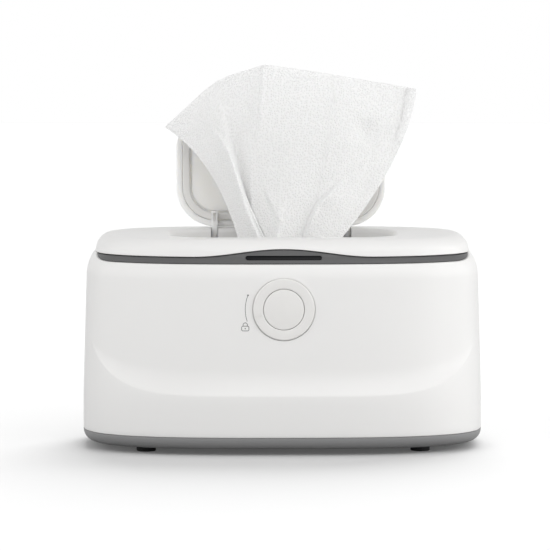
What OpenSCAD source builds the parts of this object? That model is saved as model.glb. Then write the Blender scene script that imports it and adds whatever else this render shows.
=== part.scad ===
// Baby wipe warmer with a swing-up lid, a dispensing flap and a child lock ring on the front.
// Millimetres, +X right seen from the front, the front at -Y, +Z up.
// The origin is on the table, at the middle of the footprint.

/* [Housing] */
// Width over the widest part of the body
housing_w = 240.6; // [225:0.1:260]
// Depth over the widest part of the body
housing_d = 150; // [142:0.5:165]
// Squareness of the plan outline: 2 is an ellipse, more is squarer
corner_fullness = 3; // [2.8:0.1:3.4]
// Wall of the body and of the base
wall = 2.4; // [2:0.1:2.8]
// Wall of the lid
lid_wall = 2.2; // [1.8:0.1:2.4]
// Height of the base cover, from its underside to the seam
base_h = 7.1; // [6:0.1:10]
// Radius of the base's lower edge
base_edge_r = 6.5; // [4:0.5:7]
// Height of the body, from the seam to the lid's parting line
body_h = 106.8; // [98:0.1:125]
// Height of the lid above the parting line
lid_h = 9.2; // [9:0.1:12]
// How much the sides lean in for each millimetre of height
side_draft = 0.029; // [0.02:0.001:0.035]
// Height above the seam where the sides start to lean in
straight_h = 21; // [15:1:23]
// Radius of the body's shoulder
shoulder_r = 22; // [20:0.5:26]
// Height of the rounded shoulder below the parting line
shoulder_h = 13.6; // [12.5:0.1:14.5]
// Gap between the lid's edge and the body's rim
parting_gap = 0.3; // [0.3:0.05:0.5]

/* [Front panel] */
// How far the upper panel stands behind the lower skirt
panel_depth = 3.6; // [2.5:0.1:4]
// Height above the seam of the step's crisp lower edge, at the middle
step_low_h = 24.9; // [24:0.1:30]
// Height above the seam of the step's soft upper edge, at the middle
step_high_h = 40.4; // [38:0.1:46]
// Height above the seam where the step's two arms fade out
step_arm_h = 56.2; // [52:0.1:62]
// Half the width over the step's two arms
step_half_w = 115.5; // [108:0.5:116]
// How far the front rim is cut down below the parting line
rim_cut = 4.2; // [3:0.1:4.6]

/* [Lid] */
// Radius of the lid's upper edge
lid_edge_r = 7; // [5.5:0.1:7.5]
// How much the lid's sides lean in for each millimetre of height
lid_draft = 0.2; // [0.15:0.01:0.22]
// Rise of the arch in the lid's front edge
arch_rise = 4.65; // [3:0.05:4.7]
// Half the width of the arch
arch_half_w = 55; // [45:1:62]
// Width of the well that the flap closes
well_w = 135; // [128:0.5:140]
// Depth of the well from front to back
well_d = 74; // [72:0.5:76]
// Corner radius of the well
well_r = 26; // [22:0.5:30]
// Radius of the well's upper edge
well_edge_r = 3; // [2:0.1:3.4]
// Depth of the well's floor below the lid's top
well_floor_h = 14.3; // [14:0.1:16]
// Thickness of the well's floor
well_floor_t = 2; // [1.6:0.1:2.4]
// Play between the well and the closed flap, at the sides
flap_side_play = 3.2; // [2:0.1:4]
// Play between the well and the closed flap, front and back
flap_end_play = 2; // [1.5:0.1:2.5]

/* [Flap] */
// Thickness of the flap's plate
flap_plate_t = 2.6; // [2.2:0.1:3]
// Height of the flap's outer lip, from the top
flap_lip_h = 5; // [4.5:0.1:5.4]
// Width of the flap's outer lip
flap_lip_w = 3.8; // [3:0.1:4.5]
// Width of the flap's seal
flap_seal_w = 4.4; // [3:0.1:5]
// How far the seal stands out past the lip
flap_seal_proud = 0.7; // [0.4:0.1:1]
// Height of the raised middle of the flap's inner side
flap_pad_h = 1.6; // [0.8:0.1:1.8]
// How far the flap's two hinge arms stand from the middle
flap_arm_x = 40.8; // [36:0.2:44]
// Width of a hinge arm
flap_arm_w = 3.2; // [2.6:0.1:4]
// Length of a hinge arm from its pin to its free end
flap_arm_l = 18.4; // [16:0.1:21]
// Distance of the flap's pins behind the flap's rear edge
flap_pin_back = 10.3; // [10:0.1:11]
// Depth of the flap's pins below the lid's top
flap_pin_drop = 7.3; // [7.2:0.05:7.6]
// Outer radius of an arm's eye
flap_eye_r = 2.6; // [2.4:0.05:2.7]
// Radius of the flap's pins
flap_pin_r = 1.1; // [1:0.05:1.3]
// Angle that the flap stands open
flap_open = 95; // [90:1:97]

/* [Hinge and latch] */
// Distance of the lid's two hinges from the middle
hinge_x = 34; // [26:0.5:40]
// Distance of the hinge axis inside the body's rear face
hinge_in = 5; // [4.6:0.1:5.2]
// Distance of the hinge axis below the parting line
hinge_drop = 3.6; // [3.5:0.1:3.8]
// Width of a hinge knuckle
knuckle_w = 13; // [9:0.5:16]
// Radius of a hinge knuckle
knuckle_r = 3.4; // [3.2:0.05:3.5]
// Radius of the ears that carry the lid's pins
ear_r = 3; // [2.7:0.05:3.1]
// Thickness of the ears
ear_t = 3.5; // [3:0.1:4.5]
// Radius of the lid's pins
lid_pin_r = 1.25; // [1.1:0.05:1.5]
// Distance of the two latch hooks from the middle
hook_x = 30; // [28:0.5:32]
// Width of a latch hook
hook_w = 6.5; // [5:0.5:8]
// Thickness of the latch hooks and of the latch slide
latch_t = 1.4; // [1.2:0.1:1.6]

/* [Button and lock ring] */
// Height of the button's centre above the seam
dial_h = 76.2; // [72:0.1:82]
// Outer radius of the lock ring
ring_r = 18.6; // [17:0.1:20]
// Radius of the push button
button_r = 12.05; // [10.5:0.05:12.5]
// How far the lock ring stands out of the panel
ring_proud = 1.5; // [1:0.1:2]
// Travel of the push button
button_travel = 2; // [1.5:0.1:2]
// Radius of the button's stem
stem_r = 3.2; // [2.5:0.1:3.6]
// Mean radius of the button's spring
spring_r = 5.4; // [5:0.1:6]
// Wire diameter of the button's spring
spring_wire = 0.7; // [0.5:0.05:0.8]
// Turns of the button's spring
spring_turns = 3.5; // [3:0.5:4]
// Width of the indicator window
window_w = 45; // [36:0.5:50]
// Height of the indicator window
window_h = 2.6; // [2.2:0.1:3]

/* [Inside] */
// Height of the grey rim frame's front wall above the parting line
rim_up = 5; // [4:0.1:5.1]
// Height of the rim frame's wall below the parting line
rim_down = 13.6; // [12:0.1:16]
// Thickness of the rim frame's wall
rim_t = 1.6; // [1.4:0.1:1.9]
// Wall of the wipe tub
tub_wall = 2; // [1.6:0.1:2.2]
// Height of the tub's underside above the seam
tub_low_h = 9.2; // [9:0.1:12]
// Thickness of the aluminium heating plate
plate_t = 1.3; // [1:0.1:1.6]
// Thickness of the heating film
film_t = 0.5; // [0.4:0.05:0.6]
// Thickness of the insulation pad
pad_t = 4.5; // [4:0.1:4.8]
// Width of the heating plate
heater_w = 150; // [120:1:156]
// Depth of the heating plate
heater_d = 70; // [56:1:76]
// Thickness of a circuit board
board_t = 1.6; // [1.2:0.1:1.6]
// Radius of the power inlet's bore
inlet_r = 2.75; // [2.5:0.05:3]
// Distance of the power inlet from the middle
inlet_x = 40; // [30:1:46]
// Height of the power inlet above the seam
inlet_h = 15.2; // [14:0.1:22]

/* [Feet] */
// Height of the base's underside above the table
foot_h = 3.7; // [3:0.1:6]
// Radius of a foot
foot_r = 5.8; // [4.5:0.1:7]
// Distance of the feet inside the housing's sides
foot_in_x = 38.3; // [34:0.1:50]
// Distance of the feet inside the housing's front and back
foot_in_y = 31; // [29:0.5:39]

/* [Wipe] */
// Thickness of the wipe's cloth
wipe_t = 0.6; // [0.5:0.05:0.8]
// Height of the wipe above the well's floor
wipe_h = 115; // [90:1:130]
// Width of the wipe's upper edge
wipe_w = 152.7; // [130:0.1:160]
// Width of the wipe where it leaves the gate
wipe_neck_w = 71; // [60:0.5:74]
// How far back the wipe's upper edge leans
wipe_lean = 48; // [42:0.5:48]

/* [Fits] */
// Radial running clearance of pins, hubs and stems
run_fit = 0.06; // [0.03:0.01:0.09]
// Gap between pieces that sit in each other
seat_gap = 0.1; // [0.05:0.01:0.15]
// Gap between pieces that move past each other
move_gap = 0.5; // [0.4:0.05:0.6]
// Gap round the push button, inside the lock ring
dial_gap = 0.25; // [0.15:0.05:0.35]

/* [Hidden] */

// Points round a large ring, and round a smaller one.
RING_N = 96;
TUB_N = 64;
// How evenly a ring's points are spread: lower gathers them in the corners.
SPREAD = 0.85;
$fn = 64;

half_w = housing_w / 2;
half_d = housing_d / 2;
foot_x = half_w - foot_in_x;
foot_y = half_d - foot_in_y;
base_z = foot_h;
seam_z = base_z + base_h;
straight_z = seam_z + straight_h;
part_z = seam_z + body_h;
shoulder_z = part_z - shoulder_h;
top_z = part_z + lid_h;
lid_edge_z = top_z - lid_edge_r;
under_z = top_z - lid_wall;
dial_z = seam_z + dial_h;
// A thin dark line between two mouldings.
seam_gap = 0.15;

// ---- Outlines -------------------------------------------------------------

function sgn(v) = v < 0 ? -1 : 1;
function mix(a, b, t) = a + (b - a) * t;
function smooth(t) = let(c = min(1, max(0, t))) c * c * (3 - 2 * c);

// A point of the unit outline with squared corners.
function unit_point(i, n) =
    let(a = 360 * i / n)
    let(x = sgn(cos(a)) * pow(abs(cos(a)), SPREAD))
    let(y = sgn(sin(a)) * pow(abs(sin(a)), SPREAD))
    let(s = pow(pow(abs(x), corner_fullness) + pow(abs(y), corner_fullness), -1 / corner_fullness))
    [x * s, y * s];

// The front panel's set-back fades out towards the sides.
function panel_fade(x) = 1 - smooth((abs(x) / half_w - 0.70) / 0.27);

// A point of the housing's outline, moved in by inset, with its front moved back by setback.
function plan_point(i, inset, setback = 0, n = RING_N) =
    let(u = unit_point(i, n))
    let(x = (half_w - inset) * u[0])
    let(y = (half_d - inset) * u[1])
    [x, y < 0 ? y + setback * panel_fade(x) * smooth(-y / 30) : y];

function plan(inset, setback = 0, n = RING_N) =
    [for (i = [0:n - 1]) plan_point(i, inset, setback, n)];

// A point of a rectangle with round corners, seen in the direction of the same unit point.
function rect_point(i, w, d, r, n = RING_N) =
    let(u = unit_point(i, n))
    let(v = [abs(u[0]) * w, abs(u[1]) * d] / norm([u[0] * w, u[1] * d]))
    let(c = [w - r, d - r])
    let(side = v[0] < 1e-9 ? 1e9 : w / v[0])
    let(end = v[1] < 1e-9 ? 1e9 : d / v[1])
    let(arc = v * c + sqrt(max(0, pow(v * c, 2) - c * c + r * r)))
    let(t = side * v[1] <= c[1] ? side : end * v[0] <= c[0] ? end : arc)
    [sgn(u[0]) * v[0] * t, sgn(u[1]) * v[1] * t];

function rect_ring(w, d, r, z, n = RING_N) =
    [for (i = [0:n - 1]) let(p = rect_point(i, w, d, r, n)) [p[0], p[1], z]];

// The corners of a rectangle with round corners, as points on its four arcs.
CORNER_STEPS = 12;
function rounded_points(w, d, r) = [for (q = [0:3], k = [0:CORNER_STEPS])
    let(a = 90 * (q + k / CORNER_STEPS))
    let(sx = q == 0 || q == 3 ? 1 : -1)
    let(sy = q < 2 ? 1 : -1)
    [sx * (w / 2 - r) + r * cos(a), sy * (d / 2 - r) + r * sin(a)]];

module rounded(w, d, r) {
    polygon(rounded_points(w, d, r));
}

module ring_prism(z0, z1, inset_out, inset_in, setback = panel_depth, n = RING_N) {
    translate([0, 0, z0]) linear_extrude(z1 - z0) difference() {
        polygon(plan(inset_out, setback, n));
        polygon(plan(inset_in, setback, n));
    }
}

// Joins rings of points into one closed skin. A closed loop of rings has no end caps.
module loft(rings, loop = false) {
    n = len(rings[0]);
    m = len(rings);
    points = [for (r = rings, p = r) p];
    sides = [for (k = [0:(loop ? m - 1 : m - 2)], i = [0:n - 1])
        let(j = (i + 1) % n)
        let(k2 = (k + 1) % m)
        each [[k * n + i, k2 * n + i, k2 * n + j], [k * n + i, k2 * n + j, k * n + j]]];
    bottom = [[for (i = [0:n - 1]) i]];
    top = [[for (i = [0:n - 1]) m * n - 1 - i]];
    polyhedron(points, loop ? sides : concat(sides, bottom, top), convexity = 10);
}

module x_cylinder(r, x0, x1, y, z) {
    translate([x0, y, z]) rotate([0, 90, 0]) cylinder(r = r, h = x1 - x0);
}

module y_cylinder(r, y0, y1, x, z) {
    translate([x, y0, z]) rotate([-90, 0, 0]) cylinder(r = r, h = y1 - y0);
}

module block(x0, x1, y0, y1, z0, z1) {
    translate([x0, y0, z0]) cube([x1 - x0, y1 - y0, z1 - z0]);
}

module both_sides() {
    children();
    mirror([1, 0, 0]) children();
}

// ---- Body -----------------------------------------------------------------

function side_in(z) =
    let(lean = side_draft * max(0, z - straight_z))
    let(up = max(0, z - shoulder_z))
    lean + shoulder_r - sqrt(pow(shoulder_r, 2) - pow(up, 2));

// The step runs level across the front and turns up at both ends.
function step_rise(p) =
    let(s = p[1] >= 0 ? 1 : min(1, abs(p[0]) / step_half_w))
    pow(1 - pow(s, 6), 1 / 1.5);
arm_z = seam_z + step_arm_h;
arm_h = 1.5;
function step_low(p) = arm_z - (arm_z - seam_z - step_low_h) * step_rise(p);
function step_high(p) = arm_z + arm_h - (arm_z + arm_h - seam_z - step_high_h) * step_rise(p);

rim_z = part_z - parting_gap;
// The front rim is cut down, and climbs back at the corners.
// The body's top edge drops over a short ramp at each end of the grey band.
band_end = 2;
band_ramp = 9;
function rim_height(p) =
    let(s = p[1] >= 0 ? 0 : smooth((half_w - band_end - abs(p[0])) / band_ramp))
    rim_z - (rim_cut - parting_gap) * s;

// A body ring: its height and its panel set-back may change round the ring.
function step_ring(t, extra = 0) = [for (i = [0:RING_N - 1])
    let(p = plan_point(i, 0))
    let(z = mix(step_low(p), step_high(p), t))
    let(q = plan_point(i, side_in(z) + extra, panel_depth * (1 - pow(1 - t, 2))))
    [q[0], q[1], z]];
function level_ring(z, extra = 0, setback = panel_depth) = [for (i = [0:RING_N - 1])
    let(q = plan_point(i, side_in(z) + extra, setback))
    [q[0], q[1], z]];
function rim_ring(t, extra = 0) = [for (i = [0:RING_N - 1])
    let(p = plan_point(i, 0))
    let(z = mix(shoulder_z, rim_height(p), t))
    let(q = plan_point(i, side_in(z) + extra, panel_depth))
    [q[0], q[1], z]];

// The rim frame stands on a ledge inside the body.
ledge_z = part_z - 7.1;
ledge_w = 1.8;
ledge_h = 2.4;
mid_z = mix(arm_z + arm_h, shoulder_z, 0.4);

module body_skin() {
    loft([
        level_ring(seam_z + seam_gap, 0, 0),
        level_ring(straight_z, 0, 0),
        step_ring(0), step_ring(0.15), step_ring(0.35), step_ring(0.6), step_ring(1),
        level_ring(mid_z), level_ring(shoulder_z),
        rim_ring(0.36), rim_ring(0.6), rim_ring(0.78), rim_ring(0.92), rim_ring(1),
        rim_ring(1, wall),
        level_ring(ledge_z, wall), level_ring(ledge_z, wall + ledge_w),
        level_ring(ledge_z - ledge_h, wall + ledge_w), level_ring(ledge_z - 2 * ledge_h, wall),
        step_ring(1, wall), step_ring(0, wall),
        level_ring(seam_z + seam_gap, wall, 0)
    ], loop = true);
}

hinge_y = half_d - hinge_in;
hinge_z = part_z - hinge_drop;
// Half the length of a hinge over its two ears.
hinge_half = knuckle_w / 2 + move_gap / 2 + ear_t;
notch_clear = 1.1;

// Front faces, from the panel inwards.
panel_y = -(half_d - panel_depth - side_in(dial_z));
boss_y = panel_y + wall + 0.6;
boss_r = ring_r + 5.4;
hub_r = button_r + 2.3;
ring_play = 0.4;

inlet_z = seam_z + inlet_h;
inlet_nose_r = inlet_r + 1.35;
inlet_face_y = half_d - 2;

module body_shell() {
    color("white") difference() {
        union() {
            body_skin();
            y_cylinder(boss_r, panel_y + wall - 0.6, boss_y, 0, dial_z);
        }
        y_cylinder(hub_r + run_fit, panel_y - 5, boss_y + 5, 0, dial_z);
        y_cylinder(ring_r + ring_play, panel_y - 5, panel_y + 0.9, 0, dial_z);
        both_sides() block(hinge_x - hinge_half - move_gap, hinge_x + hinge_half + move_gap,
            hinge_y - knuckle_r - 2 * notch_clear, half_d + 1,
            hinge_z - knuckle_r - notch_clear, part_z + 1);
        y_cylinder(inlet_nose_r + seat_gap, half_d - 12, half_d + 5, inlet_x, inlet_z);
        y_cylinder(inlet_nose_r + 2.2, inlet_face_y - 0.4, half_d + 5, inlet_x, inlet_z);
    }
}

// ---- Base -----------------------------------------------------------------

base_floor_z = base_z + wall;
post_r = 4;
post_x = heater_w / 2 - 12;
post_y = heater_d / 2 - 10;
tub_low_z = seam_z + tub_low_h;
plate_z = tub_low_z - seat_gap - plate_t;
film_z = plate_z - seat_gap - film_t;
pad_z = film_z - seat_gap - pad_t;
post_top_z = pad_z - seat_gap;

// The base's lower edge, a quarter round from the underside to the side.
function base_ring(a) =
    let(p = plan(base_edge_r * (1 - sin(a)), 0))
    let(z = base_z + (base_h - 0.6) * (1 - cos(a)))
    [for (q = p) [q[0], q[1], z]];
function flat_ring(z, inset) = [for (q = plan(inset)) [q[0], q[1], z]];

board_x0 = 20;
board_w = 62;
board_y0 = -15;
board_d = 36;
board_z = base_floor_z + 2;

module at_board_corners() {
    for (x = [board_x0 + 4, board_x0 + board_w - 4], y = [board_y0 + 4, board_y0 + board_d - 4])
        translate([x, y, 0]) children();
}

module at_feet() {
    for (x = [-foot_x, foot_x], y = [-foot_y, foot_y]) translate([x, y, 0]) children();
}

screw_x = foot_x - 16;

module base_cover() {
    color("dimgray") difference() {
        union() {
            loft([
                base_ring(0), base_ring(30), base_ring(55), base_ring(75), base_ring(90),
                flat_ring(seam_z, 0),
                flat_ring(seam_z, wall), flat_ring(base_floor_z, wall + 0.8)
            ]);
            ring_prism(base_floor_z - 0.5, seam_z + 3.5, wall + 2 * seat_gap, wall + 2.2, 0);
            for (x = [-post_x, post_x], y = [-post_y, post_y])
                translate([x, y, base_floor_z - 0.5])
                    cylinder(r = post_r, h = post_top_z - base_floor_z + 0.5);
            at_board_corners() translate([0, 0, base_floor_z - 0.5])
                cylinder(r = 2.4, h = board_z - base_floor_z + 0.5);
        }
        at_feet() translate([0, 0, base_z - 1]) cylinder(r = foot_r + seat_gap, h = 1.6);
        for (x = [-screw_x, screw_x], y = [-foot_y, foot_y]) translate([x, y, base_z - 1]) {
            cylinder(r = 3.4, h = 2.2);
            cylinder(r = 1.6, h = 6);
        }
    }
}

module foot() {
    color("black") rotate_extrude() polygon([
        [0, 0], [foot_r - 0.8, 0], [foot_r - 0.2, 0.4], [foot_r, 1],
        [foot_r, foot_h + 0.5], [0, foot_h + 0.5]]);
}

// ---- Rim frame, tub and heater --------------------------------------------

// The lid's inner skirt stands round the rim frame, with play for the swing.
lid_set = 0.2;
lid_in0 = side_in(part_z) + lid_set;
rim_out = lid_in0 + lid_wall + lid_draft * rim_up + 1.7;
rim_in = rim_out + rim_t;
rim_low_z = part_z - rim_down;
rim_rear_z = part_z - 3.4;
rim_top_z = part_z + rim_up;
ledge_t = 2.4;
flange_out = mix(side_in(ledge_z), side_in(rim_z), ledge_t / (rim_z - ledge_z)) + wall + 0.3;
// The tall part of the wall slopes down from the housing's middle to the back.
rim_slope = 30;
rim_slope_l = 8;
rim_face_y = -(half_d - panel_depth - rim_out);
rim_back_y = rim_face_y + rim_t;
window_z = part_z - 1.3;

module window_bar(grow, y0, y1) {
    r = window_h / 2 + grow;
    translate([0, y1, window_z]) rotate([90, 0, 0]) linear_extrude(y1 - y0) union() {
        square([window_w - window_h, 2 * r], center = true);
        for (s = [-1, 1]) translate([s * (window_w - window_h) / 2, 0]) circle(r = r);
    }
}

tub_front_gap = 0.4;
hook_y = rim_back_y + front_bow(hook_x + hook_w / 2) + move_gap;
hook_back_y = hook_y + latch_t;
barb_y = hook_back_y + 1.2;
tooth_y = barb_y + 0.35;
slide_y = tooth_y + 1.6;
slide_back_y = slide_y + latch_t;
tub_front_y = slide_back_y + button_travel + tub_front_gap;
flange_top_z = part_z - 4;
flange_t = 1.6;
tooth_z = flange_top_z - flange_t - 4.5;
tooth_h = 2;
guide_z = tooth_z - 2;
guide_x = 20;
guide_r = 1.2;

module rim_frame() {
    color("gray") difference() {
        union() {
            rim_ring_solid();
            both_sides() for (s = [-1, 1])
                hinge_ear(hinge_x + s * (hinge_half - ear_t / 2) - ear_t / 2);
        }
        both_sides() x_cylinder(lid_pin_r + run_fit, hinge_x - hinge_half - 1, hinge_x + hinge_half + 1,
            hinge_y, hinge_z);
        window_bar(seat_gap, rim_face_y - 1, rim_back_y + 1);
    }
}

module rim_ring_solid() {
    difference() {
        union() {
            ring_prism(rim_low_z, rim_rear_z, rim_out, rim_in);
            difference() {
                ring_prism(rim_rear_z - 0.5, rim_top_z, rim_out, rim_in);
                translate([-half_w, 0, rim_rear_z]) rotate([rim_slope, 0, 0])
                    cube([housing_w, housing_d, 4 * rim_up]);
                block(-half_w, half_w, rim_slope_l, half_d, rim_rear_z, top_z);
            }
            ring_prism(ledge_z + seat_gap / 2, ledge_z + ledge_t, flange_out, rim_in - 0.4);
            for (x = [-guide_x, guide_x])
                y_cylinder(guide_r, rim_back_y - 0.5, slide_back_y + button_travel, x, guide_z);
        }
        both_sides() block(hinge_x - knuckle_w / 2 - move_gap / 2, hinge_x + knuckle_w / 2 + move_gap / 2,
            hinge_y - knuckle_r - move_gap, half_d, ledge_z - 1, part_z);
    }
}

// An ear grows out of the rim frame's wall and holds one end of a lid pin.
module hinge_ear(x) {
    root_y = half_d - rim_out - 0.8 - rear_bow(x + ear_t);
    x_cylinder(ear_r, x, x + ear_t, hinge_y, hinge_z);
    translate([x, 0, 0]) rotate([90, 0, 90]) linear_extrude(ear_t) polygon([
        [root_y, hinge_z - ear_r], [hinge_y, hinge_z - ear_r], [hinge_y, hinge_z + ear_r],
        [hinge_y - 3, hinge_z + ear_r], [root_y, rim_rear_z]]);
}

// How far the rim frame's outline curves in at a distance from the middle, at the back and at the front.
function bow(x, depth) =
    let(s = min(1, abs(x) / (half_w - rim_in)))
    depth * (1 - pow(1 - pow(s, corner_fullness), 1 / corner_fullness));
function rear_bow(x) = bow(x, half_d - rim_in);
function front_bow(x) = bow(x, half_d - panel_depth - rim_in);

module indicator_window() {
    color([0.05, 0.05, 0.06]) window_bar(0, rim_face_y - 0.5, rim_back_y - 0.7);
}

LIGHTS = 4;
lamp_w = 3;
lamp_h = 1.6;
light_y = rim_back_y + 0.3;
light_t = 1;
light_half = window_w / 2 - 1;
light_low_z = window_z - 3 * window_h;
light_high_z = window_z + window_h / 2 + 0.8;
module light_board() {
    pitch = 2 * light_half / LIGHTS;
    color("darkgreen") {
        block(-light_half, light_half, light_y, light_y + light_t, light_low_z, light_high_z);
        for (k = [0:LIGHTS - 1]) let(x = pitch * (k + 0.5) - light_half)
            block(x - lamp_w / 2, x + lamp_w / 2, light_y - 0.7, light_y + 0.01,
                window_z - lamp_h / 2, window_z + lamp_h / 2);
    }
}

// The tub has a flat front, behind the latch, and follows the rim at the sides and the back.
tub_gap = 1.6;
tub_side = rim_in + tub_gap;
function tub_ring(z, inset, n = TUB_N) = [for (i = [0:n - 1])
    let(q = plan_point(i, tub_side + inset, 0, n))
    let(front = (tub_front_y + inset) / (half_d - tub_side - inset))
    [q[0], q[1] < 0 ? -q[1] * front : q[1], z]];
tub_floor_r = 6;

module tub_outline(inset) {
    polygon([for (p = tub_ring(0, inset)) [p[0], p[1]]]);
}

module inner_tub() {
    color("gainsboro") difference() {
        union() {
            loft([
                tub_ring(tub_low_z, tub_floor_r), tub_ring(tub_low_z + tub_floor_r * 0.3, tub_floor_r * 0.3),
                tub_ring(tub_low_z + tub_floor_r, 0), tub_ring(flange_top_z - flange_t, 0),
                tub_ring(flange_top_z - flange_t, -0.8), tub_ring(flange_top_z, -0.8),
                tub_ring(flange_top_z, tub_wall), tub_ring(tub_low_z + tub_floor_r, tub_wall),
                tub_ring(tub_low_z + tub_wall + tub_floor_r * 0.2, tub_wall + tub_floor_r * 0.35),
                tub_ring(tub_low_z + tub_wall, tub_floor_r + tub_wall * 0.5)
            ]);
            translate([0, 0, flange_top_z - flange_t]) linear_extrude(flange_t) difference() {
                polygon(plan(rim_in + 0.5, panel_depth));
                tub_outline(-0.4);
            }
        }
        both_sides() block(hook_x - hook_w / 2 - move_gap, hook_x + hook_w / 2 + move_gap,
            rim_face_y, barb_y + 1.2, flange_top_z - 3, flange_top_z + 1);
        block(-light_half - move_gap, light_half + move_gap, rim_face_y, light_y + light_t + move_gap,
            flange_top_z - 3, flange_top_z + 1);
    }
}

module heater_outline(grow) {
    rounded(heater_w + grow, heater_d + grow, 18);
}

sensor_at = [30, 20];
fuse_at = [-30, 20];

module heater_layer(z, t, grow, tone, holes) {
    color(tone) difference() {
        translate([0, 0, z]) linear_extrude(t) heater_outline(grow);
        if (holes) {
            translate([sensor_at[0], sensor_at[1], z - 1]) cylinder(r = 3, h = t + 2);
            block(fuse_at[0] - 6, fuse_at[0] + 6, fuse_at[1] - 3, fuse_at[1] + 3, z - 1, z + t + 1);
        }
    }
}

module heat_plate() {
    heater_layer(plate_z, plate_t, 0, "silver", false);
}

module heater_film() {
    heater_layer(film_z, film_t, -4, "peru", true);
}

module insulation_pad() {
    heater_layer(pad_z, pad_t, 4, "lightgray", true);
}

module temperature_sensor() {
    color("black") translate([sensor_at[0], sensor_at[1], pad_z + 0.5])
        cylinder(r = 2.4, h = plate_z - seat_gap - pad_z - 0.5);
}

module thermal_fuse() {
    color("silver") block(fuse_at[0] - 5, fuse_at[0] + 5, fuse_at[1] - 2, fuse_at[1] + 2,
        pad_z + 1.2, plate_z - seat_gap);
}

module control_board() {
    color("darkgreen") difference() {
        union() {
            block(board_x0, board_x0 + board_w, board_y0, board_y0 + board_d,
                board_z + 0.05, board_z + board_t);
            block(board_x0 + 8, board_x0 + 20, board_y0 + 8, board_y0 + 20, board_z, board_z + board_t + 1);
            block(board_x0 + 30, board_x0 + 39, board_y0 + 25, board_y0 + 31,
                board_z, board_z + board_t + 2.4);
            block(board_x0 + 44, board_x0 + 52, board_y0 + 6, board_y0 + 12,
                board_z, board_z + board_t + 2.4);
        }
        at_board_corners() translate([0, 0, board_z - 1]) cylinder(r = 1.3, h = board_t + 2);
    }
}

inlet_depth = 9;
inlet_back_y = inlet_face_y - 12;
inlet_pin_r = 1.05;
module power_socket() {
    color([0.1, 0.1, 0.1]) difference() {
        union() {
            y_cylinder(inlet_nose_r, inlet_back_y + 1, inlet_face_y, inlet_x, inlet_z);
            block(inlet_x - 5, inlet_x + 5, inlet_back_y, inlet_face_y - wall - 1,
                inlet_z - 5.5, inlet_z + 5.5);
        }
        y_cylinder(inlet_r, inlet_face_y - inlet_depth, inlet_face_y + 1, inlet_x, inlet_z);
        y_cylinder(inlet_pin_r + seat_gap / 2, inlet_back_y - 1, inlet_face_y, inlet_x, inlet_z);
    }
}

module socket_pin() {
    color("silver") y_cylinder(inlet_pin_r, inlet_back_y, inlet_face_y - 1.2, inlet_x, inlet_z);
}

// A round wire along straight runs.
module wire(route, r, sides = 6) {
    last = len(route) - 1;
    rings = [for (k = [0:last])
        let(a = route[max(0, k - 1)])
        let(b = route[min(last, k + 1)])
        let(d = (b - a) / norm(b - a))
        let(side = cross(d, abs(d[2]) > 0.8 ? [0, 1, 0] : [0, 0, 1]))
        let(e = side / norm(side))
        let(f = cross(d, e))
        [for (j = [0:sides - 1]) route[k] + r * (cos(360 * j / sides) * e + sin(360 * j / sides) * f)]];
    loft(rings);
}

wire_r = 0.8;
wire_z = board_z + board_t + wire_r + 0.3;
module wiring() {
    socket_end = [inlet_x - 2, inlet_back_y - wire_r - 0.3, inlet_z];
    color("firebrick") wire([
        socket_end, [inlet_x - 4, socket_end[1], wire_z + 2.5], [inlet_x - 5, socket_end[1] - 6, wire_z],
        [board_x0 + 26, board_y0 + board_d + 8, wire_z],
        [board_x0 + 26, board_y0 + board_d - 8, wire_z]], wire_r);
    color("white") wire([
        [board_x0 + 24, board_y0 + 4, wire_z], [board_x0 + 16, board_y0 - 10, wire_z],
        [12, -heater_d / 2 - 4, wire_z], [12, tub_front_y - 5, wire_z + 6],
        [12, tub_front_y - 5, window_z - 16], [12, light_y + light_t + wire_r + 0.2, light_low_z - 4],
        [12, light_y + light_t + wire_r + 0.2, light_low_z + 0.3]], wire_r);
}

// ---- Lid ------------------------------------------------------------------

function lid_in(z, inner = 0) =
    let(r = lid_edge_r - inner)
    let(up = min(r, max(0, z - lid_edge_z)))
    lid_in0 + inner + lid_draft * (z - part_z) + r - sqrt(max(0, r * r - up * up));

// The lid's front edge rises in a smooth arch over the indicator window.
function lid_low(p) =
    let(c = p[1] >= 0 ? 0 : abs(p[0]) < arch_half_w ? (1 + cos(180 * p[0] / arch_half_w)) / 2 : 0)
    part_z + arch_rise * c;
function lid_ring(t, high_z, inner = 0) = [for (i = [0:RING_N - 1])
    let(p = plan_point(i, lid_in0))
    let(z = mix(lid_low(p), high_z, t))
    let(q = plan_point(i, lid_in(z, inner), panel_depth))
    [q[0], q[1], z]];

well_floor_z = top_z - well_floor_h;
well_low_z = well_floor_z - well_floor_t;
function well_ring(z, grow = 0) = rect_ring(well_w / 2 + grow, well_d / 2 + grow, well_r + grow, z);
function well_edge(a) =
    well_ring(top_z - well_edge_r * (1 - cos(a)), well_edge_r * (1 - sin(a)));
gate_open_w = 100;
gate_open_d = 40;

module lid_skin() {
    loft([
        lid_ring(0, top_z), lid_ring(0.3, top_z), lid_ring(0.55, top_z), lid_ring(0.75, top_z),
        lid_ring(0.9, top_z), lid_ring(0.975, top_z), lid_ring(1, top_z),
        well_edge(0), well_edge(30), well_edge(60), well_edge(90),
        well_ring(well_floor_z),
        rect_ring(gate_open_w / 2, gate_open_d / 2, 18, well_floor_z),
        rect_ring(gate_open_w / 2, gate_open_d / 2, 18, well_low_z),
        well_ring(well_low_z, lid_wall - 1), well_ring(well_low_z + 1, lid_wall),
        well_ring(under_z, lid_wall),
        lid_ring(1, under_z, lid_wall), lid_ring(0.85, under_z, lid_wall), lid_ring(0.6, under_z, lid_wall),
        lid_ring(0.3, under_z, lid_wall), lid_ring(0, under_z, lid_wall)
    ], loop = true);
}

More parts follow.
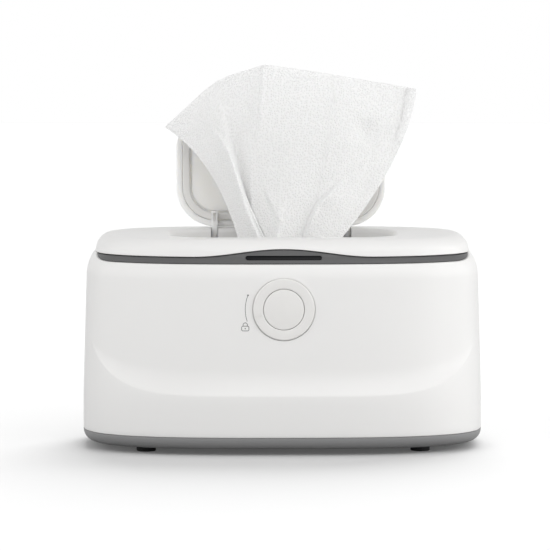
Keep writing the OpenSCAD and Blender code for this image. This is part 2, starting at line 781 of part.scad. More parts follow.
// The flap's pins lie behind the well, under the lid's deck.
flap_rear_y = well_d / 2 - flap_end_play;
flap_pin_y = flap_rear_y + flap_pin_back;
flap_pin_z = top_z - flap_pin_drop;
arm_gap = 0.4;
lug_t = 1.8;
lug_in = flap_arm_w / 2 + arm_gap;
lug_out = lug_in + lug_t;
slot_w = flap_arm_w + 4;
deck_slot_w = flap_arm_w + 1.6;

module at_arms() {
    for (s = [-1, 1]) translate([s * flap_arm_x, 0, 0]) children();
}

module lid_shell() {
    color("white") difference() {
        union() {
            lid_skin();
            at_arms() for (x = [-lug_out, lug_in]) {
                x_cylinder(flap_eye_r, x, x + lug_t, flap_pin_y, flap_pin_z);
                block(x, x + lug_t, flap_pin_y - flap_eye_r, flap_pin_y + flap_eye_r,
                    flap_pin_z, under_z + 0.5);
            }
            both_sides() {
                x_cylinder(knuckle_r, hinge_x - knuckle_w / 2, hinge_x + knuckle_w / 2, hinge_y, hinge_z);
                block(hinge_x - knuckle_w / 2, hinge_x + knuckle_w / 2,
                    hinge_y - knuckle_r, hinge_y + 0.6, hinge_z, part_z + 2);
            }
        }
        at_arms() {
            x_cylinder(flap_pin_r + run_fit, -lug_out - 1, lug_out + 1, flap_pin_y, flap_pin_z);
            block(-slot_w / 2, slot_w / 2, well_d / 2 - 1, well_d / 2 + lid_wall + 1,
                flap_pin_z - flap_eye_r - 0.6, under_z - 0.2);
            block(-deck_slot_w / 2, deck_slot_w / 2, well_d / 2 - 1, flap_pin_y + flap_eye_r + 0.6,
                flap_pin_z + 1, top_z + 1);
        }
        both_sides() x_cylinder(lid_pin_r + run_fit, hinge_x - knuckle_w, hinge_x + knuckle_w,
            hinge_y, hinge_z);
    }
}

liner_low_z = part_z - 2.8;
liner_t = 1.4;
liner_out = rim_in + 0.8;

module lid_liner() {
    color("whitesmoke") difference() {
        translate([0, 0, liner_low_z]) linear_extrude(liner_t) difference() {
            polygon(plan(liner_out, panel_depth));
            rounded(well_w + 2 * lid_wall + 1, well_d + 2 * lid_wall + 1, well_r + lid_wall + 0.5);
        }
        both_sides() block(hook_x - hook_w / 2 - seat_gap, hook_x + hook_w / 2 + seat_gap,
            rim_face_y, hook_back_y + seat_gap, liner_low_z - 1, liner_low_z + liner_t + 1);
        block(-light_half - 2 * move_gap, light_half + 2 * move_gap,
            rim_face_y, light_y + light_t + 2 * move_gap,
            liner_low_z - 1, liner_low_z + liner_t + 1);
    }
}

seal_low_z = flange_top_z + 0.3;
module lid_seal() {
    color("lightgray") translate([0, 0, seal_low_z]) linear_extrude(liner_low_z - seal_low_z) difference() {
        tub_outline(-0.4);
        tub_outline(2);
    }
}

module lid_pin(side) {
    color("silver") x_cylinder(lid_pin_r, side * hinge_x - hinge_half, side * hinge_x + hinge_half,
        hinge_y, hinge_z);
}

// Each hook hangs from the liner, through the tub's flange, with its nose under the latch tooth.
module latch_hook(side) {
    low_z = tooth_z - 0.3 - 2.6;
    tab_z = liner_low_z + liner_t;
    color("white") translate([side * hook_x, 0, 0]) rotate([90, 0, 90])
        translate([0, 0, -hook_w / 2]) linear_extrude(hook_w) polygon([
            [hook_y, low_z + 0.6], [hook_y + 0.6, low_z], [hook_back_y, low_z],
            [barb_y, low_z + 1.6], [barb_y, low_z + 2.6], [hook_back_y, low_z + 2.6],
            [hook_back_y, tab_z + 0.05], [hook_back_y + 7, tab_z + 0.05], [hook_back_y + 7, tab_z + 1.6],
            [hook_y, tab_z + 1.6]]);
}

gate_t = 1.6;
gate_slot_w = 84;
gate_slot_d = 18;
module dispensing_gate() {
    color("white") translate([0, 0, well_floor_z + 0.02]) difference() {
        union() {
            linear_extrude(gate_t) rounded(gate_open_w + 12, gate_open_d + 12, 22);
            translate([0, 0, gate_t - 0.01]) linear_extrude(0.8) difference() {
                rounded(gate_open_w - 4, gate_open_d - 4, 16);
                rounded(gate_open_w - 8, gate_open_d - 8, 14);
            }
        }
        translate([0, 0, -1]) linear_extrude(gate_t + 3)
            rounded(gate_slot_w, gate_slot_d, gate_slot_d / 2 - 0.1);
    }
}

// ---- Flap -----------------------------------------------------------------

flap_w = well_w - 2 * flap_side_play;
flap_d = well_d - 2 * flap_end_play;
flap_r = well_r - flap_end_play;
flap_low_z = top_z - flap_lip_h;
seal_groove = 0.4;
// Inside the seal the flap's plate is raised, so that a channel runs along the seal.
flap_pad_in = flap_lip_w + seal_groove + flap_seal_w + 1.6;

// Turns a piece that is drawn closed to the open flap's place.
module flap_place() {
    translate([0, flap_pin_y, flap_pin_z]) rotate([-flap_open, 0, 0])
        translate([0, -flap_pin_y, -flap_pin_z]) children();
}

function flap_ring(z, inset) =
    [for (p = rounded_points(flap_w - 2 * inset, flap_d - 2 * inset, flap_r - inset)) [p[0], p[1], z]];

module flap_arm() {
    tip_y = flap_pin_y - flap_arm_l;
    low_z = flap_pin_z - flap_eye_r;
    seat_z = top_z - flap_plate_t + 0.3;
    neck_z = flap_pin_z + 1.9;
    difference() {
        union() {
            x_cylinder(flap_eye_r, -flap_arm_w / 2, flap_arm_w / 2, flap_pin_y, flap_pin_z);
            translate([-flap_arm_w / 2, 0, 0]) rotate([90, 0, 90]) linear_extrude(flap_arm_w) polygon([
                [flap_pin_y, low_z], [flap_pin_y, neck_z], [flap_rear_y - 0.2, neck_z],
                [flap_rear_y - 1.2, seat_z], [tip_y + 2, seat_z], [tip_y, low_z + 1.4], [tip_y + 1, low_z]]);
        }
        x_cylinder(flap_pin_r + run_fit + 0.02, -flap_arm_w, flap_arm_w, flap_pin_y, flap_pin_z);
        block(-0.9, 0.9, tip_y + 1.4, tip_y + 6.4, low_z - 1, low_z + 2.4);
    }
}

module flap() {
    color("white") flap_place() {
        loft([
            flap_ring(top_z - flap_plate_t, 0.1), flap_ring(top_z - 1.2, 0),
            flap_ring(top_z - 0.35, 0.35), flap_ring(top_z, 1.2)
        ]);
        translate([0, 0, flap_low_z]) linear_extrude(flap_lip_h - flap_plate_t + 0.3) difference() {
            rounded(flap_w, flap_d, flap_r);
            rounded(flap_w - 2 * flap_lip_w, flap_d - 2 * flap_lip_w, flap_r - flap_lip_w);
        }
        translate([0, 0, top_z - flap_plate_t - flap_pad_h]) linear_extrude(flap_pad_h + 0.3)
            rounded(flap_w - 2 * flap_pad_in, flap_d - 2 * flap_pad_in, flap_r - flap_pad_in);
        at_arms() flap_arm();
    }
}

module flap_seal() {
    out = flap_lip_w + seal_groove;
    in = out + flap_seal_w;
    color("whitesmoke") flap_place() translate([0, 0, flap_low_z - flap_seal_proud]) difference() {
        linear_extrude(flap_lip_h - flap_plate_t + flap_seal_proud - 0.05) difference() {
            rounded(flap_w - 2 * out, flap_d - 2 * out, flap_r - out);
            rounded(flap_w - 2 * in, flap_d - 2 * in, flap_r - in);
        }
        at_arms() block(-flap_arm_w / 2 - 0.3, flap_arm_w / 2 + 0.3, 0, flap_rear_y, -1, 5);
    }
}

module flap_pin(side) {
    color("silver") translate([side * flap_arm_x, 0, 0])
        x_cylinder(flap_pin_r, -lug_out, lug_out, flap_pin_y, flap_pin_z);
}

// ---- Button, lock ring and latch slide -------------------------------------

ring_face_y = panel_y - ring_proud;
ring_seat_y = panel_y + 0.9 - 0.1;
cap_back_y = boss_y - 0.2;
housing_back_y = boss_y + 7;
lip_r = hub_r + 1.6;

// Turns a profile of radius and depth round the button's axis.
module dial_turn() {
    translate([0, 0, dial_z]) rotate([90, 0, 0]) rotate_extrude() children();
}

// A point of a dial profile, given its radius and its place along Y.
function dial_point(r, y) = [r, -y];

module lock_ring() {
    bore = button_r + dial_gap;
    color("white") difference() {
        dial_turn() polygon([
            dial_point(bore, ring_face_y + 0.3), dial_point(bore + 0.3, ring_face_y),
            dial_point(ring_r - 1, ring_face_y + 0.1), dial_point(ring_r - 0.3, ring_face_y + 0.4),
            dial_point(ring_r, ring_face_y + 1), dial_point(ring_r, ring_seat_y),
            dial_point(hub_r, ring_seat_y), dial_point(hub_r, boss_y + 0.3),
            dial_point(lip_r, boss_y + 0.6), dial_point(lip_r, boss_y + 1.6),
            dial_point(hub_r, boss_y + 2.2), dial_point(bore, boss_y + 2.2)]);
        translate([0, 0, dial_z]) rotate([0, -pointer_angle, 0])
            translate([ring_r - 4.6, ring_face_y - 1, -0.5]) cube([3.6, 1.5, 1]);
    }
}
// The pointer's direction, seen from the front, from the right and counterclockwise.
pointer_angle = 196;

module push_button() {
    face_y = ring_face_y + 0.1;
    crown = 0.5;
    crown_steps = 6;
    color("white") dial_turn() polygon(concat(
        [for (k = [0:crown_steps])
            let(r = (button_r - 0.5) * k / crown_steps)
            dial_point(r, face_y - crown * (1 - pow(k / crown_steps, 2)))],
        [dial_point(button_r, face_y + 0.5), dial_point(button_r, cap_back_y),
            dial_point(stem_r, cap_back_y), dial_point(stem_r, slide_y + 0.6),
            dial_point(0, slide_y + 0.6)]));
}

// The housing is a cup behind the lock ring, with two screw ears against the body's wall.
lip_gap = 0.6;
cup_t = 1.6;
cup_r = lip_r + lip_gap;
cup_out_r = cup_r + cup_t;
cup_seat_y = boss_y + 0.05;
screw_ear_r = 3.4;
screw_hole_r = 1.3;
screw_ear_x = cup_out_r + screw_ear_r - 1.2;
module button_housing() {
    inner_r = stem_r + run_fit;
    color("gainsboro") difference() {
        union() {
            dial_turn() polygon([
                dial_point(inner_r, housing_back_y - cup_t), dial_point(cup_r, housing_back_y - cup_t),
                dial_point(cup_r, cup_seat_y), dial_point(cup_out_r, cup_seat_y),
                dial_point(cup_out_r, housing_back_y), dial_point(inner_r, housing_back_y)]);
            both_sides() {
                y_cylinder(screw_ear_r, cup_seat_y, cup_seat_y + cup_t, screw_ear_x, dial_z);
                block(cup_out_r - cup_t / 2, screw_ear_x, cup_seat_y, cup_seat_y + cup_t,
                    dial_z - screw_ear_r, dial_z + screw_ear_r);
            }
        }
        both_sides() y_cylinder(screw_hole_r, cup_seat_y - 1, cup_seat_y + cup_t + 1,
            screw_ear_x, dial_z);
    }
}

// One helical wire, with its least gap between turns.
module button_spring() {
    y0 = cap_back_y + spring_wire / 2 + 0.1;
    y1 = housing_back_y - cup_t - spring_wire / 2 - 0.1;
    per_turn = 10;
    steps = per_turn * spring_turns;
    route = [for (k = [0:steps])
        let(turn = 360 * k / per_turn)
        [spring_r * cos(turn), mix(y0, y1, k / steps), dial_z + spring_r * sin(turn)]];
    echo(spring_least_gap = (y1 - y0) / spring_turns - spring_wire);
    color("silver") wire(route, spring_wire / 2);
}

module latch_slide() {
    low_z = dial_z - stem_r - 2.8;
    color("gainsboro") difference() {
        union() {
            block(-2 * stem_r, 2 * stem_r, slide_y, slide_back_y, low_z, tooth_z + tooth_h);
            block(-hook_x - hook_w / 2 - 1, hook_x + hook_w / 2 + 1, slide_y, slide_back_y,
                tooth_z - 5, tooth_z + tooth_h);
            both_sides() block(hook_x - hook_w / 2, hook_x + hook_w / 2, tooth_y, slide_y + 0.1,
                tooth_z, tooth_z + tooth_h);
            y_cylinder(stem_r + 1.8, slide_y - 5, slide_y + 0.1, 0, dial_z);
        }
        y_cylinder(stem_r + run_fit, slide_y - 6, slide_y + 0.7, 0, dial_z);
        both_sides() y_cylinder(guide_r + run_fit, slide_y - 1, slide_back_y + 1, guide_x, guide_z);
    }
}

// ---- Wipe -----------------------------------------------------------------

// Stations along the wipe's width, from its left edge to its right edge, as seen from the front.
// The neck lies in the gate, the waist is half-way up and the hem is the upper edge.
// A neck point is [x, y], as shares of the neck's width and of the gate's depth.
// The others are [x, y, z], as shares of the wipe's width, lean and height.
NECK = [[-0.50, 0.44], [-0.33, -0.17], [-0.16, -0.30], [-0.21, 0.14], [-0.23, 0.26], [-0.08, -0.24],
    [0.16, 0.12], [0.33, 0.24], [0.50, 0]];
WAIST = [[-0.288, 0.83, 0.44], [-0.242, 0.58, 0.43], [-0.180, 0.25, 0.47],
    [-0.166, 0.44, 0.45], [-0.124, 0.29, 0.49], [0.030, 0.23, 0.48],
    [0.180, 0.33, 0.475], [0.314, 0.52, 0.475], [0.436, 0.75, 0.48]];
HEM = [[-0.468, 1, 0.668], [-0.360, 0.98, 0.800], [-0.252, 0.90, 0.929],
    [-0.175, 0.79, 0.960], [-0.068, 0.64, 1], [0.079, 0.71, 0.970],
    [0.229, 0.79, 0.935], [0.380, 0.885, 0.900], [0.532, 0.96, 0.868]];
CREASE = 4;
neck_z = well_floor_z + 8;
tail_z = well_low_z - 4.6;
neck_right = 2.5;

function neck(k) = [NECK[k][0] * wipe_neck_w + neck_right, NECK[k][1] * gate_slot_d, neck_z];
function tail(k) = [NECK[k][0] * wipe_neck_w * 0.9 + neck_right, NECK[k][1] * gate_slot_d * 0.8, tail_z];
function waist(k) = [WAIST[k][0] * wipe_w, WAIST[k][1] * wipe_lean, well_floor_z + WAIST[k][2] * wipe_h];
function hem(k) = [HEM[k][0] * wipe_w, HEM[k][1] * wipe_lean, well_floor_z + HEM[k][2] * wipe_h];

// A smooth curve through four points, between the middle two.
function spline(a, b, c, d, t) =
    0.5 * (2 * b + (c - a) * t + (2 * a - 5 * b + 4 * c - d) * t * t + (3 * b - a - 3 * c + d) * t * t * t);

// A column of the wipe: v is 0 at the neck and 1 at the hem, and below 0 in the tail.
function column(k, v) = v < 0
    ? mix(neck(k), tail(k), -v)
    : let(a = neck(k), b = waist(k), c = hem(k))
        a * (1 - v) * (1 - 2 * v) + b * 4 * v * (1 - v) + c * v * (2 * v - 1);

// A point of the wipe: u counts stations. The crease is sharp, so no curve runs over it.
function wipe_point(u, v) =
    let(k = min(len(HEM) - 2, floor(u)))
    let(b = column(k, v))
    let(c = column(k + 1, v))
    let(a = k == 0 || k == CREASE ? 2 * b - c : column(k - 1, v))
    let(d = k + 1 == CREASE || k + 2 == len(HEM) ? 2 * c - b : column(k + 2, v))
    spline(a, b, c, d, u - k);

wipe_cols = 24;
wipe_rows = 18;
tail_rows = 2;
function wipe_at(i, j) =
    let(u = min(len(HEM) - 1.001, max(0, i * (len(HEM) - 1) / wipe_cols)))
    let(v = j < tail_rows ? (j - tail_rows) / tail_rows : (j - tail_rows) / (wipe_rows - tail_rows))
    wipe_point(u, v);
function wipe_side(i, j, s) =
    let(across = wipe_at(min(wipe_cols, i + 1), j) - wipe_at(max(0, i - 1), j))
    let(along = wipe_at(i, min(wipe_rows, j + 1)) - wipe_at(i, max(0, j - 1)))
    let(n = cross(across, along))
    wipe_at(i, j) + n / norm(n) * s * wipe_t / 2;

module wipe() {
    nu = wipe_cols + 1;
    nv = wipe_rows + 1;
    points = [for (s = [1, -1], j = [0:wipe_rows], i = [0:wipe_cols]) wipe_side(i, j, s)];
    function id(s, i, j) = s * nu * nv + j * nu + i;
    function quad(a, b, c, d) = [[a, b, c], [a, c, d]];
    faces = [
        for (j = [0:wipe_rows - 1], i = [0:wipe_cols - 1])
            each quad(id(0, i, j), id(0, i, j + 1), id(0, i + 1, j + 1), id(0, i + 1, j)),
        for (j = [0:wipe_rows - 1], i = [0:wipe_cols - 1])
            each quad(id(1, i, j), id(1, i + 1, j), id(1, i + 1, j + 1), id(1, i, j + 1)),
        for (j = [0:wipe_rows - 1])
            each quad(id(0, 0, j), id(1, 0, j), id(1, 0, j + 1), id(0, 0, j + 1)),
        for (j = [0:wipe_rows - 1])
            each quad(id(0, wipe_cols, j), id(0, wipe_cols, j + 1),
                id(1, wipe_cols, j + 1), id(1, wipe_cols, j)),
        for (i = [0:wipe_cols - 1])
            each quad(id(0, i, 0), id(0, i + 1, 0), id(1, i + 1, 0), id(1, i, 0)),
        for (i = [0:wipe_cols - 1])
            each quad(id(0, i, wipe_rows), id(1, i, wipe_rows),
                id(1, i + 1, wipe_rows), id(0, i + 1, wipe_rows))
    ];
    color("white") polyhedron(points, faces, convexity = 10);
}

body_shell();
base_cover();
translate([-foot_x, -foot_y, 0]) foot();  // foot_front_left
translate([foot_x, -foot_y, 0]) foot();  // foot_front_right
translate([-foot_x, foot_y, 0]) foot();  // foot_rear_left
translate([foot_x, foot_y, 0]) foot();  // foot_rear_right
rim_frame();
indicator_window();
light_board();
inner_tub();
heat_plate();
heater_film();
insulation_pad();
temperature_sensor();
thermal_fuse();
control_board();
power_socket();
socket_pin();
wiring();
lid_shell();
lid_liner();
lid_seal();
lid_pin(-1);  // lid_pin_left
lid_pin(1);  // lid_pin_right
latch_hook(-1);  // latch_hook_left
latch_hook(1);  // latch_hook_right
dispensing_gate();
flap();
flap_seal();
flap_pin(-1);  // flap_pin_left
flap_pin(1);  // flap_pin_right
button_housing();
button_spring();
lock_ring();
push_button();
latch_slide();
wipe();
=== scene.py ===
# %% [markdown]
# # A baby wipe warmer, dressed for its picture
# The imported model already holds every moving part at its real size. This lesson gives each part its
# finished surface: smooth moulded shells with small edge radii, a printed dial mark, rubber feet and an
# embossed wipe. Lengths are written in millimetres and turned into Blender's metres in one place.

# %% Load the fixed frame
import math

import bmesh
import bpy
import numpy as np
from mathutils import Matrix, Vector


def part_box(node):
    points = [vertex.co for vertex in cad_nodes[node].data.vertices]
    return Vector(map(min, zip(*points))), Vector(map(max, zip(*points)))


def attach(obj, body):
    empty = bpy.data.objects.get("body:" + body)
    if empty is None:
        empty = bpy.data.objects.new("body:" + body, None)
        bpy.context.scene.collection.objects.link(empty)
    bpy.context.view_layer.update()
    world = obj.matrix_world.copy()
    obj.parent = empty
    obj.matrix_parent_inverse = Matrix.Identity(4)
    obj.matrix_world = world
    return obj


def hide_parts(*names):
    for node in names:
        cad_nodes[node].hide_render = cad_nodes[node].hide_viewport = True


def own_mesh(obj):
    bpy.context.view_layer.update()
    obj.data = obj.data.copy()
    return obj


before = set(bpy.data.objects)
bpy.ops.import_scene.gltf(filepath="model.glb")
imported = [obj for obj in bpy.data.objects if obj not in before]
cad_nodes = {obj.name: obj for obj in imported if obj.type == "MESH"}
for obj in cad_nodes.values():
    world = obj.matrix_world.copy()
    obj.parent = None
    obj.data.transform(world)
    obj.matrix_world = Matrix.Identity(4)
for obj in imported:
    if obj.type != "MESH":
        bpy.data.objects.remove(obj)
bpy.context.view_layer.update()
MM = 0.001

# %% [markdown]
# ## Sizes
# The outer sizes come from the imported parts, so the shells always meet their neighbours. What a box cannot
# tell, such as a radius or a draft angle, is named here once.

# %% Sizes from the frame
def box_mm(node):
    low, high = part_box(node)
    return np.array(low) / MM, np.array(high) / MM


def middle(node):
    low, high = box_mm(node)
    return (low + high) / 2


body_low, body_high = box_mm("body_shell")
HALF_W, HALF_D = body_high[:2]
SEAM_GAP = 0.15
SEAM_Z = body_low[2] - SEAM_GAP
PARTING_GAP = 0.3
PART_Z = body_high[2] + PARTING_GAP
TOP_Z = box_mm("lid_shell")[1][2]
BASE_Z = box_mm("base_cover")[0][2]
WALL = 2.4
LID_WALL = 2.2
EDGE = 0.45
print(f"housing {2 * HALF_W:.1f} x {2 * HALF_D:.1f} mm, parting line at {PART_Z:.1f} mm")

# %% [markdown]
# ## One outline for every shell
# Body, base and lid share a squared oval: a circle's formula with the power 3 instead of 2. Each shell is a
# stack of such outlines, every one with the same number of points, so that neighbouring rows can be joined
# by four-sided faces. The front of the body is set back behind its lower skirt, and fades out at the sides.

# %% The squared oval
COLUMNS = 384
FULLNESS = 3.0
SPREAD = 0.85
PANEL_DEPTH = 3.6


def smooth(t):
    c = np.clip(t, 0.0, 1.0)
    return c * c * (3 - 2 * c)


def mix(a, b, t):
    return a + (b - a) * t


def unit_outline(count):
    a = np.arange(count) * 2 * math.pi / count
    x = np.sign(np.cos(a)) * np.abs(np.cos(a)) ** SPREAD
    y = np.sign(np.sin(a)) * np.abs(np.sin(a)) ** SPREAD
    s = (np.abs(x) ** FULLNESS + np.abs(y) ** FULLNESS) ** (-1 / FULLNESS)
    return x * s, y * s


UNIT_X, UNIT_Y = unit_outline(COLUMNS)


def panel_fade(x):
    return 1 - smooth((np.abs(x) / HALF_W - 0.80) / 0.19)


def outline(inset, z, setback=0.0):
    """One row of points, moved in by inset, at height z; both may differ from point to point."""
    x = (HALF_W - inset) * UNIT_X
    y = (HALF_D - inset) * UNIT_Y
    y = y + np.where(y < 0, setback * panel_fade(x) * smooth(-y / 30), 0)
    return np.stack([x, y, np.broadcast_to(z, x.shape)], axis=1)


print("an outline has", COLUMNS, "points")

# %% [markdown]
# ## Helpers that make meshes
# `skin` joins rows into a mesh, `lathe` turns a profile round an axis, and `cut` and `fuse` use Blender's
# exact Boolean. `bend` gives the rows of a rounded edge. Sharp edges are marked where faces meet at more
# than 32 degrees, so that smooth shading stays inside one surface. A piece's object always sits at the
# origin, with its place in its mesh.

# %% Mesh helpers
SHARP = math.radians(32)


def add_object(name, data):
    obj = bpy.data.objects.new(name, data)
    bpy.context.scene.collection.objects.link(obj)
    return obj


def from_data(name, vertices, faces):
    """A mesh object from points in millimetres, with its faces turned outwards."""
    mesh = bpy.data.meshes.new(name)
    mesh.from_pydata([tuple(v) for v in np.asarray(vertices) * MM], [], faces)
    tidy = bmesh.new()
    tidy.from_mesh(mesh)
    bmesh.ops.remove_doubles(tidy, verts=tidy.verts, dist=1e-7)
    bmesh.ops.recalc_face_normals(tidy, faces=tidy.faces)
    tidy.to_mesh(mesh)
    tidy.free()
    return add_object(name, mesh)


def skin(name, rows, closed=False):
    """Joins rows of points. A closed skin runs from the last row back to the first; an open one is capped."""
    n, m = len(rows[0]), len(rows)
    faces = [(k * n + i, k * n + (i + 1) % n, (k + 1) % m * n + (i + 1) % n, (k + 1) % m * n + i)
             for k in range(m if closed else m - 1) for i in range(n)]
    if not closed:
        faces += [tuple(range(n)), tuple(range((m - 1) * n, m * n))]
    return from_data(name, np.concatenate(rows), faces)


def quarter(steps):
    """Angles of a quarter turn, both ends included."""
    return np.linspace(0, math.pi / 2, steps + 1)


def bend(row, z, inset, up, into, steps, skip=0, swap=False):
    """Rows round a corner at (z, inset), whose radius is up along z and into along the inset."""
    result = []
    for a in quarter(steps)[skip:]:
        c, s = 1 - math.cos(a), 1 - math.sin(a)
        if swap:
            c, s = s, c
        result.append(row(z + up * c, inset + into * s))
    return result


def drawn_in(row, shares):
    """Copies of a level row, each drawn in towards the part's middle by a share."""
    centre = np.array([0.0, 0.0, row[0][2]])
    return [centre + (row - centre) * t for t in shares]


def turned_point(along, radius):
    """A point of a lathe's profile, for use with bend."""
    return radius, along


def circle(axis, radius, along, centre, steps):
    a = np.arange(steps) * 2 * math.pi / steps
    u, v, w = radius * np.cos(a), radius * np.sin(a), np.full(steps, float(along))
    return np.stack({"x": (w, u, v), "y": (u, w, v), "z": (u, v, w)}[axis], axis=1) + np.array(centre)


def lathe(name, profile, centre, axis="y", steps=128):
    """Turns a closed profile of (radius, place along the axis) round an axis through centre."""
    return skin(name, [circle(axis, radius, along, centre, steps) for radius, along in profile], closed=True)


def rod(name, axis, radius, start, stop, centre, steps=64):
    """A plain cylinder between two places along an axis."""
    return skin(name, [circle(axis, radius, along, centre, steps) for along in (start, stop)])


def block(name, low, high):
    points = [(x, y, z) for x in (low[0], high[0]) for y in (low[1], high[1]) for z in (low[2], high[2])]
    faces = [(0, 1, 3, 2), (4, 6, 7, 5), (0, 4, 5, 1), (2, 3, 7, 6), (0, 2, 6, 4), (1, 5, 7, 3)]
    return from_data(name, points, faces)


def apply_modifiers(obj):
    """Turns the evaluated object into a plain mesh and removes its modifiers."""
    graph = bpy.context.evaluated_depsgraph_get()
    mesh = bpy.data.meshes.new_from_object(obj.evaluated_get(graph))
    obj.modifiers.clear()
    obj.data = mesh
    return obj


def cut(obj, *others, operation="DIFFERENCE"):
    for other in others:
        step = obj.modifiers.new("step", "BOOLEAN")
        step.operation = operation
        step.solver = "EXACT"
        step.object = other
        apply_modifiers(obj)
        bpy.data.objects.remove(other)
    return obj


def fuse(obj, *others):
    return cut(obj, *others, operation="UNION")


def round_edges(obj, width, segments=3):
    bevel = obj.modifiers.new("round", "BEVEL")
    bevel.width = width * MM
    bevel.segments = segments
    bevel.limit_method = "ANGLE"
    bevel.angle_limit = math.radians(40)
    bevel.harden_normals = False
    return apply_modifiers(obj)


def join(name, parts):
    """Puts the meshes of several finished parts into one piece."""
    whole = bmesh.new()
    for part in parts:
        whole.from_mesh(part.data)
        bpy.data.objects.remove(part)
    mesh = bpy.data.meshes.new(name)
    whole.to_mesh(mesh)
    whole.free()
    return add_object(name, mesh)


# %% [markdown]
# Every piece is handed over in the same way: it gets its finish, it is hung on the empty of the body that
# carries it, and the imported part that it stands for is hidden.

# %% Hand a piece over
def finish_mesh(obj, material):
    mesh = obj.data
    mesh.materials.clear()
    mesh.materials.append(material)
    mesh.shade_smooth()
    mesh.set_sharp_from_angle(angle=SHARP)
    return obj


def hand_over(obj, material, body, stands_for=None):
    finish_mesh(obj, material)
    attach(obj, body)
    if stands_for:
        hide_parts(stands_for)
    print(f"{obj.name}: {len(obj.data.polygons)} faces")
    return obj

# %% [markdown]
# ## A shader group that several materials share
# Moulded plastic is never mirror smooth. Its tool leaves a fine spark-eroded grain, and handling leaves
# faint patches that shine a little differently. One node group with named inputs, built once, makes both. It
# gives out only values, so the shader itself stays in each material.

# %% Node group helpers
def feed(tree, node, given):
    """Sets inputs of a node, each to a plain value or from the output of another node."""
    for label, value in given.items():
        if isinstance(value, bpy.types.NodeSocket):
            tree.links.new(value, node.inputs[label])
        else:
            node.inputs[label].default_value = value


def add_node(tree, kind, given=None, **settings):
    node = tree.nodes.new(kind)
    for label, value in settings.items():
        setattr(node, label, value)
    feed(tree, node, given or {})
    return node


def new_group(name, inputs, outputs):
    """A shader group of plain values: its tree, the outputs of its input node, and its output node."""
    group = bpy.data.node_groups.new(name, "ShaderNodeTree")
    for label, value in inputs.items():
        group.interface.new_socket(label, in_out="INPUT", socket_type="NodeSocketFloat").default_value = value
    for label in outputs:
        group.interface.new_socket(label, in_out="OUTPUT", socket_type="NodeSocketFloat")
    return group, group.nodes.new("NodeGroupInput").outputs, group.nodes.new("NodeGroupOutput")


def math_node(tree, operation, a, b):
    return add_node(tree, "ShaderNodeMath", {0: a, 1: b}, operation=operation).outputs[0]


def remap(tree, value, low, high):
    """Spreads a value from 0..1 to low..high."""
    given = {"Value": value, "To Min": low, "To Max": high}
    return add_node(tree, "ShaderNodeMapRange", given).outputs["Result"]


def noise(tree, place, scale, detail, roughness=0.5, output="Fac"):
    given = {"Vector": place, "Scale": scale, "Detail": detail, "Roughness": roughness}
    return add_node(tree, "ShaderNodeTexNoise", given).outputs[output]


def object_noise(tree, scale, detail=2.0, roughness=0.5):
    """Noise that sits still on the piece, because it reads Object coordinates."""
    return noise(tree, add_node(tree, "ShaderNodeTexCoord").outputs["Object"], scale, detail, roughness)

# %% The moulded surface group
GRAIN_SCALE = 2600.0
PATCH_SCALE = 34.0
FLOW_SCALE = 11.0


def make_moulded_surface():
    """Grain height, roughness and a slow tone change for every moulded part."""
    inputs = {"Grain Scale": GRAIN_SCALE, "Roughness": 0.4, "Roughness Spread": 0.06, "Tone Spread": 0.01}
    group, given, result = new_group("moulded surface", inputs, ("Height", "Roughness", "Tone"))
    half = math_node(group, "MULTIPLY", given["Roughness Spread"], 0.5)
    low = math_node(group, "SUBTRACT", given["Roughness"], half)
    high = math_node(group, "ADD", given["Roughness"], half)
    tone_low = math_node(group, "SUBTRACT", 1.0, given["Tone Spread"])
    feed(group, result, {"Height": object_noise(group, given["Grain Scale"], detail=3.0, roughness=0.6),
                         "Roughness": remap(group, object_noise(group, PATCH_SCALE, detail=4.0), low, high),
                         "Tone": remap(group, object_noise(group, FLOW_SCALE, detail=1.0), tone_low, 1.0)})
    return group


MOULDED = make_moulded_surface()
print("shader group:", MOULDED.name)

# %% [markdown]
# ## Finishes
# One function makes all the moulded plastics from their colour, roughness and grain. The white shell is a
# bright satin, the grey frame is darker and a little rougher, and the smoked window is nearly black. The
# flap is a thin plastic that lets some light through, so its shader spreads light inside the wall.

# %% A moulded plastic
def principled(name):
    material = bpy.data.materials.new(name)
    material.use_nodes = True
    return material, material.node_tree, material.node_tree.nodes["Principled BSDF"]


def tinted(tree, colour, factor):
    """A colour made slightly darker where factor is below 1."""
    return add_node(tree, "ShaderNodeMix", {"Factor": 1.0, "A": (*colour, 1.0), "B": factor}, data_type="RGBA",
                    blend_type="MULTIPLY").outputs["Result"]


def bump(tree, height, distance):
    return add_node(tree, "ShaderNodeBump", {"Height": height, "Distance": distance * MM}).outputs["Normal"]


def lets_light_in(tree, shader, weight, depth, tint=(1.0, 1.0, 1.0)):
    feed(tree, shader, {"Subsurface Weight": weight, "Subsurface Radius": tint, "Subsurface Scale": depth * MM})


def moulded_plastic(name, colour, roughness, grain=0.006, grain_scale=GRAIN_SCALE, tone=0.012, specular=0.5):
    material, tree, shader = principled(name)
    given = {"Grain Scale": grain_scale, "Roughness": roughness, "Tone Spread": tone}
    made = add_node(tree, "ShaderNodeGroup", given, node_tree=MOULDED).outputs
    feed(tree, shader, {"Base Color": tinted(tree, colour, made["Tone"]), "Roughness": made["Roughness"],
                        "Normal": bump(tree, made["Height"], grain), "Specular IOR Level": specular})
    return material


